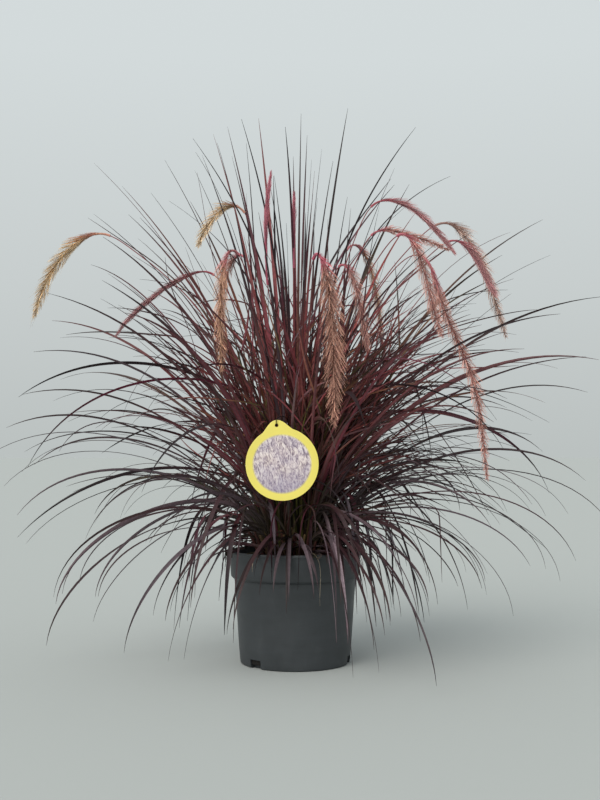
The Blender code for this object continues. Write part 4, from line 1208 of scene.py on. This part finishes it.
def make_stray_blades():
    """The blades that stand out of the clump, as arcs: a V section, widest in the first third and tapered to
    a hair, w = W (1 - ((s - 0.35) / 0.65)^1.5)."""
    rng = np.random.default_rng(57)
    grown = [stray_ways(kind, 90 * number, rng) for number, kind in enumerate(STRAY_BLADES)]
    paths, widest, kinds = (np.concatenate(column) for column in zip(*grown))
    free = unhidden(paths)
    paths, widest, kinds = paths[free], widest[free][:, None], kinds[free]
    count, rings = paths.shape[:2]
    share = np.linspace(0, 1, rings)
    taper = 1 - np.clip((share - 0.35) / 0.65, 0, 1) ** 1.5
    widths = widest * (0.60 + 0.40 * np.clip(share / 0.2, 0, 1)) * taper + 0.0004
    fold = 0.30 - 0.20 * np.clip(share / 0.4, 0, 1) + 0 * widest
    twist = rng.normal(0, 0.5, (count, 1)) + rng.normal(0, 0.9, (count, 1)) * share**1.5
    grid = strands(paths, across_blades(paths, twist), widths, fold, LEAF_THICKNESS)
    tones = np.array([[linear(code) for code in STRAY_TONES[kind]] for kind in kinds])
    tone = blend_colours(tones[:, None, 0], tones[:, None, 1], share[None] / 0.4 + 0 * widest)
    tone = blend_colours(tone, tones[:, None, 2], (share[None] - 0.5) / 0.4 + 0 * widest)
    tone = np.repeat((tone * 2 ** rng.normal(0, 0.15, (count, 1, 1)))[:, :, None], 4, axis=2)
    uv = strip_uv(count, share, (0.33, 0.66, 1.0, 0.0))
    finish_piece(join_strands("stray_blades", [(grid, tone, uv, 4)], LEAF), "leaf")


# ---------------------------------------------------------------- label and tie


def label_points(x, height, y):
    """Points given in the label's own plane, leant over and put in their place."""
    lean = math.radians(LABEL_LEAN)
    turned_x = x * math.cos(lean) - height * math.sin(lean)
    turned_z = x * math.sin(lean) + height * math.cos(lean)
    return np.stack(np.broadcast_arrays(turned_x, y, turned_z), axis=-1) + np.array(LABEL_CENTRE)


def make_label():
    """A thin sheet between the hole's edge and the outline r = R + rise cos^2 near the top, ruled from one to
    the other, with rounded edges and a slight cup across its width."""
    count, steps = 180, 14
    angle = np.linspace(0, 2 * np.pi, count, endpoint=False)
    off_top = np.abs((np.degrees(angle) - 90 + 180) % 360 - 180)
    rise = TAB_RISE * np.cos(np.pi / 2 * np.minimum(1.0, off_top / TAB_HALF_ANGLE)) ** 2
    outline = (LABEL_RADIUS + rise)[:, None] * np.stack([np.cos(angle), np.sin(angle)], axis=-1)
    hole = np.array([0.0, HOLE_REACH])
    edge = hole + unit(outline - hole) * HOLE_RADIUS
    share = np.linspace(0, 1, steps)[:, None, None] ** 1.3
    front = edge + (outline - edge) * share
    thick = np.full(steps, 0.0004)
    thick[0] = thick[-1] = 0.00022
    cup = 0.0012 * (front[..., 0] / LABEL_RADIUS) ** 2
    sheet = [label_points(front[..., 0], front[..., 1], cup + half * thick[:, None]) for half in (-1, 1)]
    points = np.concatenate([sheet[0], sheet[1][::-1]])
    # Each quad starts at its second corner, so that it is split along the other diagonal
    quads = np.roll(looped_faces(len(points), count), -1, axis=1)
    label = make_piece("round_label", points.reshape(-1, 3), [quads], LABEL, sharp=50)
    make_outward(label)
    finish_piece(label, "label_plastic", "hang_label")


def make_outward(piece):
    """Turns a closed mesh whose signed volume, the sum of a . (b x c) / 6 over its triangles, is negative."""
    mesh = piece.data
    mesh.calc_loop_triangles()
    corner = np.zeros(len(mesh.loop_triangles) * 3, np.int32)
    mesh.loop_triangles.foreach_get("vertices", corner)
    points = np.zeros(len(mesh.vertices) * 3)
    mesh.vertices.foreach_get("co", points)
    a, b, c = points.reshape(-1, 3)[corner.reshape(-1, 3)].transpose(1, 0, 2)
    if np.einsum("ij,ij->i", a, np.cross(b, c)).sum() < 0:
        mesh.flip_normals()


def make_tie():
    """A closed loop of thin tie: upright where it passes the label's hole, level where it passes behind its
    leaf."""
    front = label_points(0.0, HOLE_REACH + TIE_HALF_LOOP, -TIE_FRONT)
    back = place(TIE_AZIMUTH, TIE_BACK_REACH, front[2] + 0.002)
    middle, half = (front + back) / 2, (back - front) / 2
    up = np.array([0.0, 0.0, 1.0])
    level = np.cross(half, up) / np.linalg.norm(half)
    angle = np.linspace(0, 2 * np.pi, 72, endpoint=False)[:, None]
    twist = np.pi / 2 * (1 - np.cos(angle)) / 2
    side = np.cos(twist) * up + np.sin(twist) * level
    centre = middle - half * np.cos(angle) + side * TIE_HALF_WIDTH * np.sin(angle)
    out = side * np.sin(angle) - half / np.linalg.norm(half) * np.cos(angle)
    other = np.cross(half / np.linalg.norm(half), side)
    turn = (2 * np.pi * np.arange(8) / 8)[None, :, None]
    points = centre[:, None] + TIE_RADIUS * (np.cos(turn) * out[:, None] + np.sin(turn) * other[:, None])
    tie = make_piece("tie_loop", points.reshape(-1, 3), [looped_faces(72, 8)], TIE)
    make_outward(tie)
    finish_piece(tie, "tie", "label_tie")


# ---------------------------------------------------------------- studio


def make_floor():
    """A plain pale floor: one large turned disc."""
    profile = [(0.0005, -FLOOR_DEPTH), (FLOOR_RADIUS, -FLOOR_DEPTH), (FLOOR_RADIUS, 0.0), (0.0005, 0.0)]
    material, _, shader = new_finish("matt painted floor")
    shader.inputs["Base Color"].default_value = paint("A8ACAA")
    shader.inputs["Roughness"].default_value = 0.9
    floor = make_piece("floor", turned(profile, 64).reshape(-1, 3), turned_faces(4, 64), material)


def aimed(start, end):
    """The turn that points an object's -Z from start to end, with its Y upwards."""
    return (Vector(end) - Vector(start)).to_track_quat("-Z", "Y").to_euler()


def make_studio():
    """One wide, soft key light from the upper left in front, and a pale surround, darker low down."""
    scene = bpy.context.scene
    data = bpy.data.lights.new("key", "SUN")
    data.energy = KEY_STRENGTH
    data.angle = math.radians(KEY_SPREAD)
    data.color = linear("FFFCF6")
    key = bpy.data.objects.new("key", data)
    scene.collection.objects.link(key)
    key.rotation_euler = aimed(KEY_PLACE, (0.0, 0.0, 0.0))
    world = bpy.data.worlds.new("studio")
    scene.world = world
    world.use_nodes = True
    tree = world.node_tree
    back = tree.nodes["Background"]
    way = add_node(tree, "ShaderNodeTexCoord").outputs["Generated"]
    height = add_node(tree, "ShaderNodeSeparateXYZ", {"Vector": way}).outputs["Z"]
    wall = [(0.0, "BBC1C0"), (0.14, "C7CDCD"), (0.34, "D3DADB"), (1.0, "DCE2E4")]
    tone = add_node(tree, "ShaderNodeValToRGB", {"Fac": height}, stops=wall)
    tree.links.new(tone.outputs["Color"], back.inputs["Color"])
    back.inputs["Strength"].default_value = 1.0
    scene.view_settings.view_transform = "Standard"


def make_camera():
    """A camera in front of the pot, on a level with the label, that looks up a little."""
    data = bpy.data.cameras.new("camera")
    data.lens = LENS
    data.sensor_width = 36.0
    camera = bpy.data.objects.new("camera", data)
    bpy.context.scene.collection.objects.link(camera)
    stand = (CAMERA_SIDE, -CAMERA_DISTANCE, CAMERA_HEIGHT)
    camera.location = stand
    camera.rotation_euler = aimed(stand, (CAMERA_SIDE, 0.0, AIM_HEIGHT))
    bpy.context.scene.camera = camera


POT = pot_finish()
MIX = mix_finish()
# Milled conifer bark: dry, fibrous and matt, blotched every 2 mm
CRUMB = toned_finish("bark crumb", 0.9, 0.3, 500.0, 0.3)
# Living leaf under a thin wax: a soft, broken shine. Its veins, 0.3 mm apart, wouldn't show and are drawn
# as 4.5 mm blotches.
LEAF = toned_finish("burgundy leaf blade", 0.50, 0.24, 220.0, 0.18)
# Smooth green stem flushed with red, a little shinier than the leaves, blotched every 3 mm
STEM = toned_finish("reddish stem", 0.5, 0.4, 300.0, 0.2)
# Dry, hollow hairs: matt, with the faint glow that a mass of fine hairs has at its edge, varied every 2.5 mm
PLUME = toned_finish("flower bristle", 0.75, 0.3, 400.0, 0.15, sheen=0.15)
LABEL = label_finish()
# Soft plastic, extruded as a thin cord: smooth, slightly glossy and olive, with 3 mm of unevenness
TIE = toned_finish("olive tie", 0.5, 0.4, 300.0, 0.1)

make_camera()
make_pot()
make_mix()
make_crown()
for tuft_number, (tuft, *counts) in enumerate(zip(LEAF_TUFTS, CULM_COUNTS, HANGING_COUNTS), 1):
    make_leaf_blades(tuft_number, *tuft, *counts)
for stem_number, stem in enumerate(FLOWER_STEMS, 1):
    make_flower_stem(stem_number, *stem)
make_stray_blades()
make_label()
make_tie()
make_floor()
make_studio()
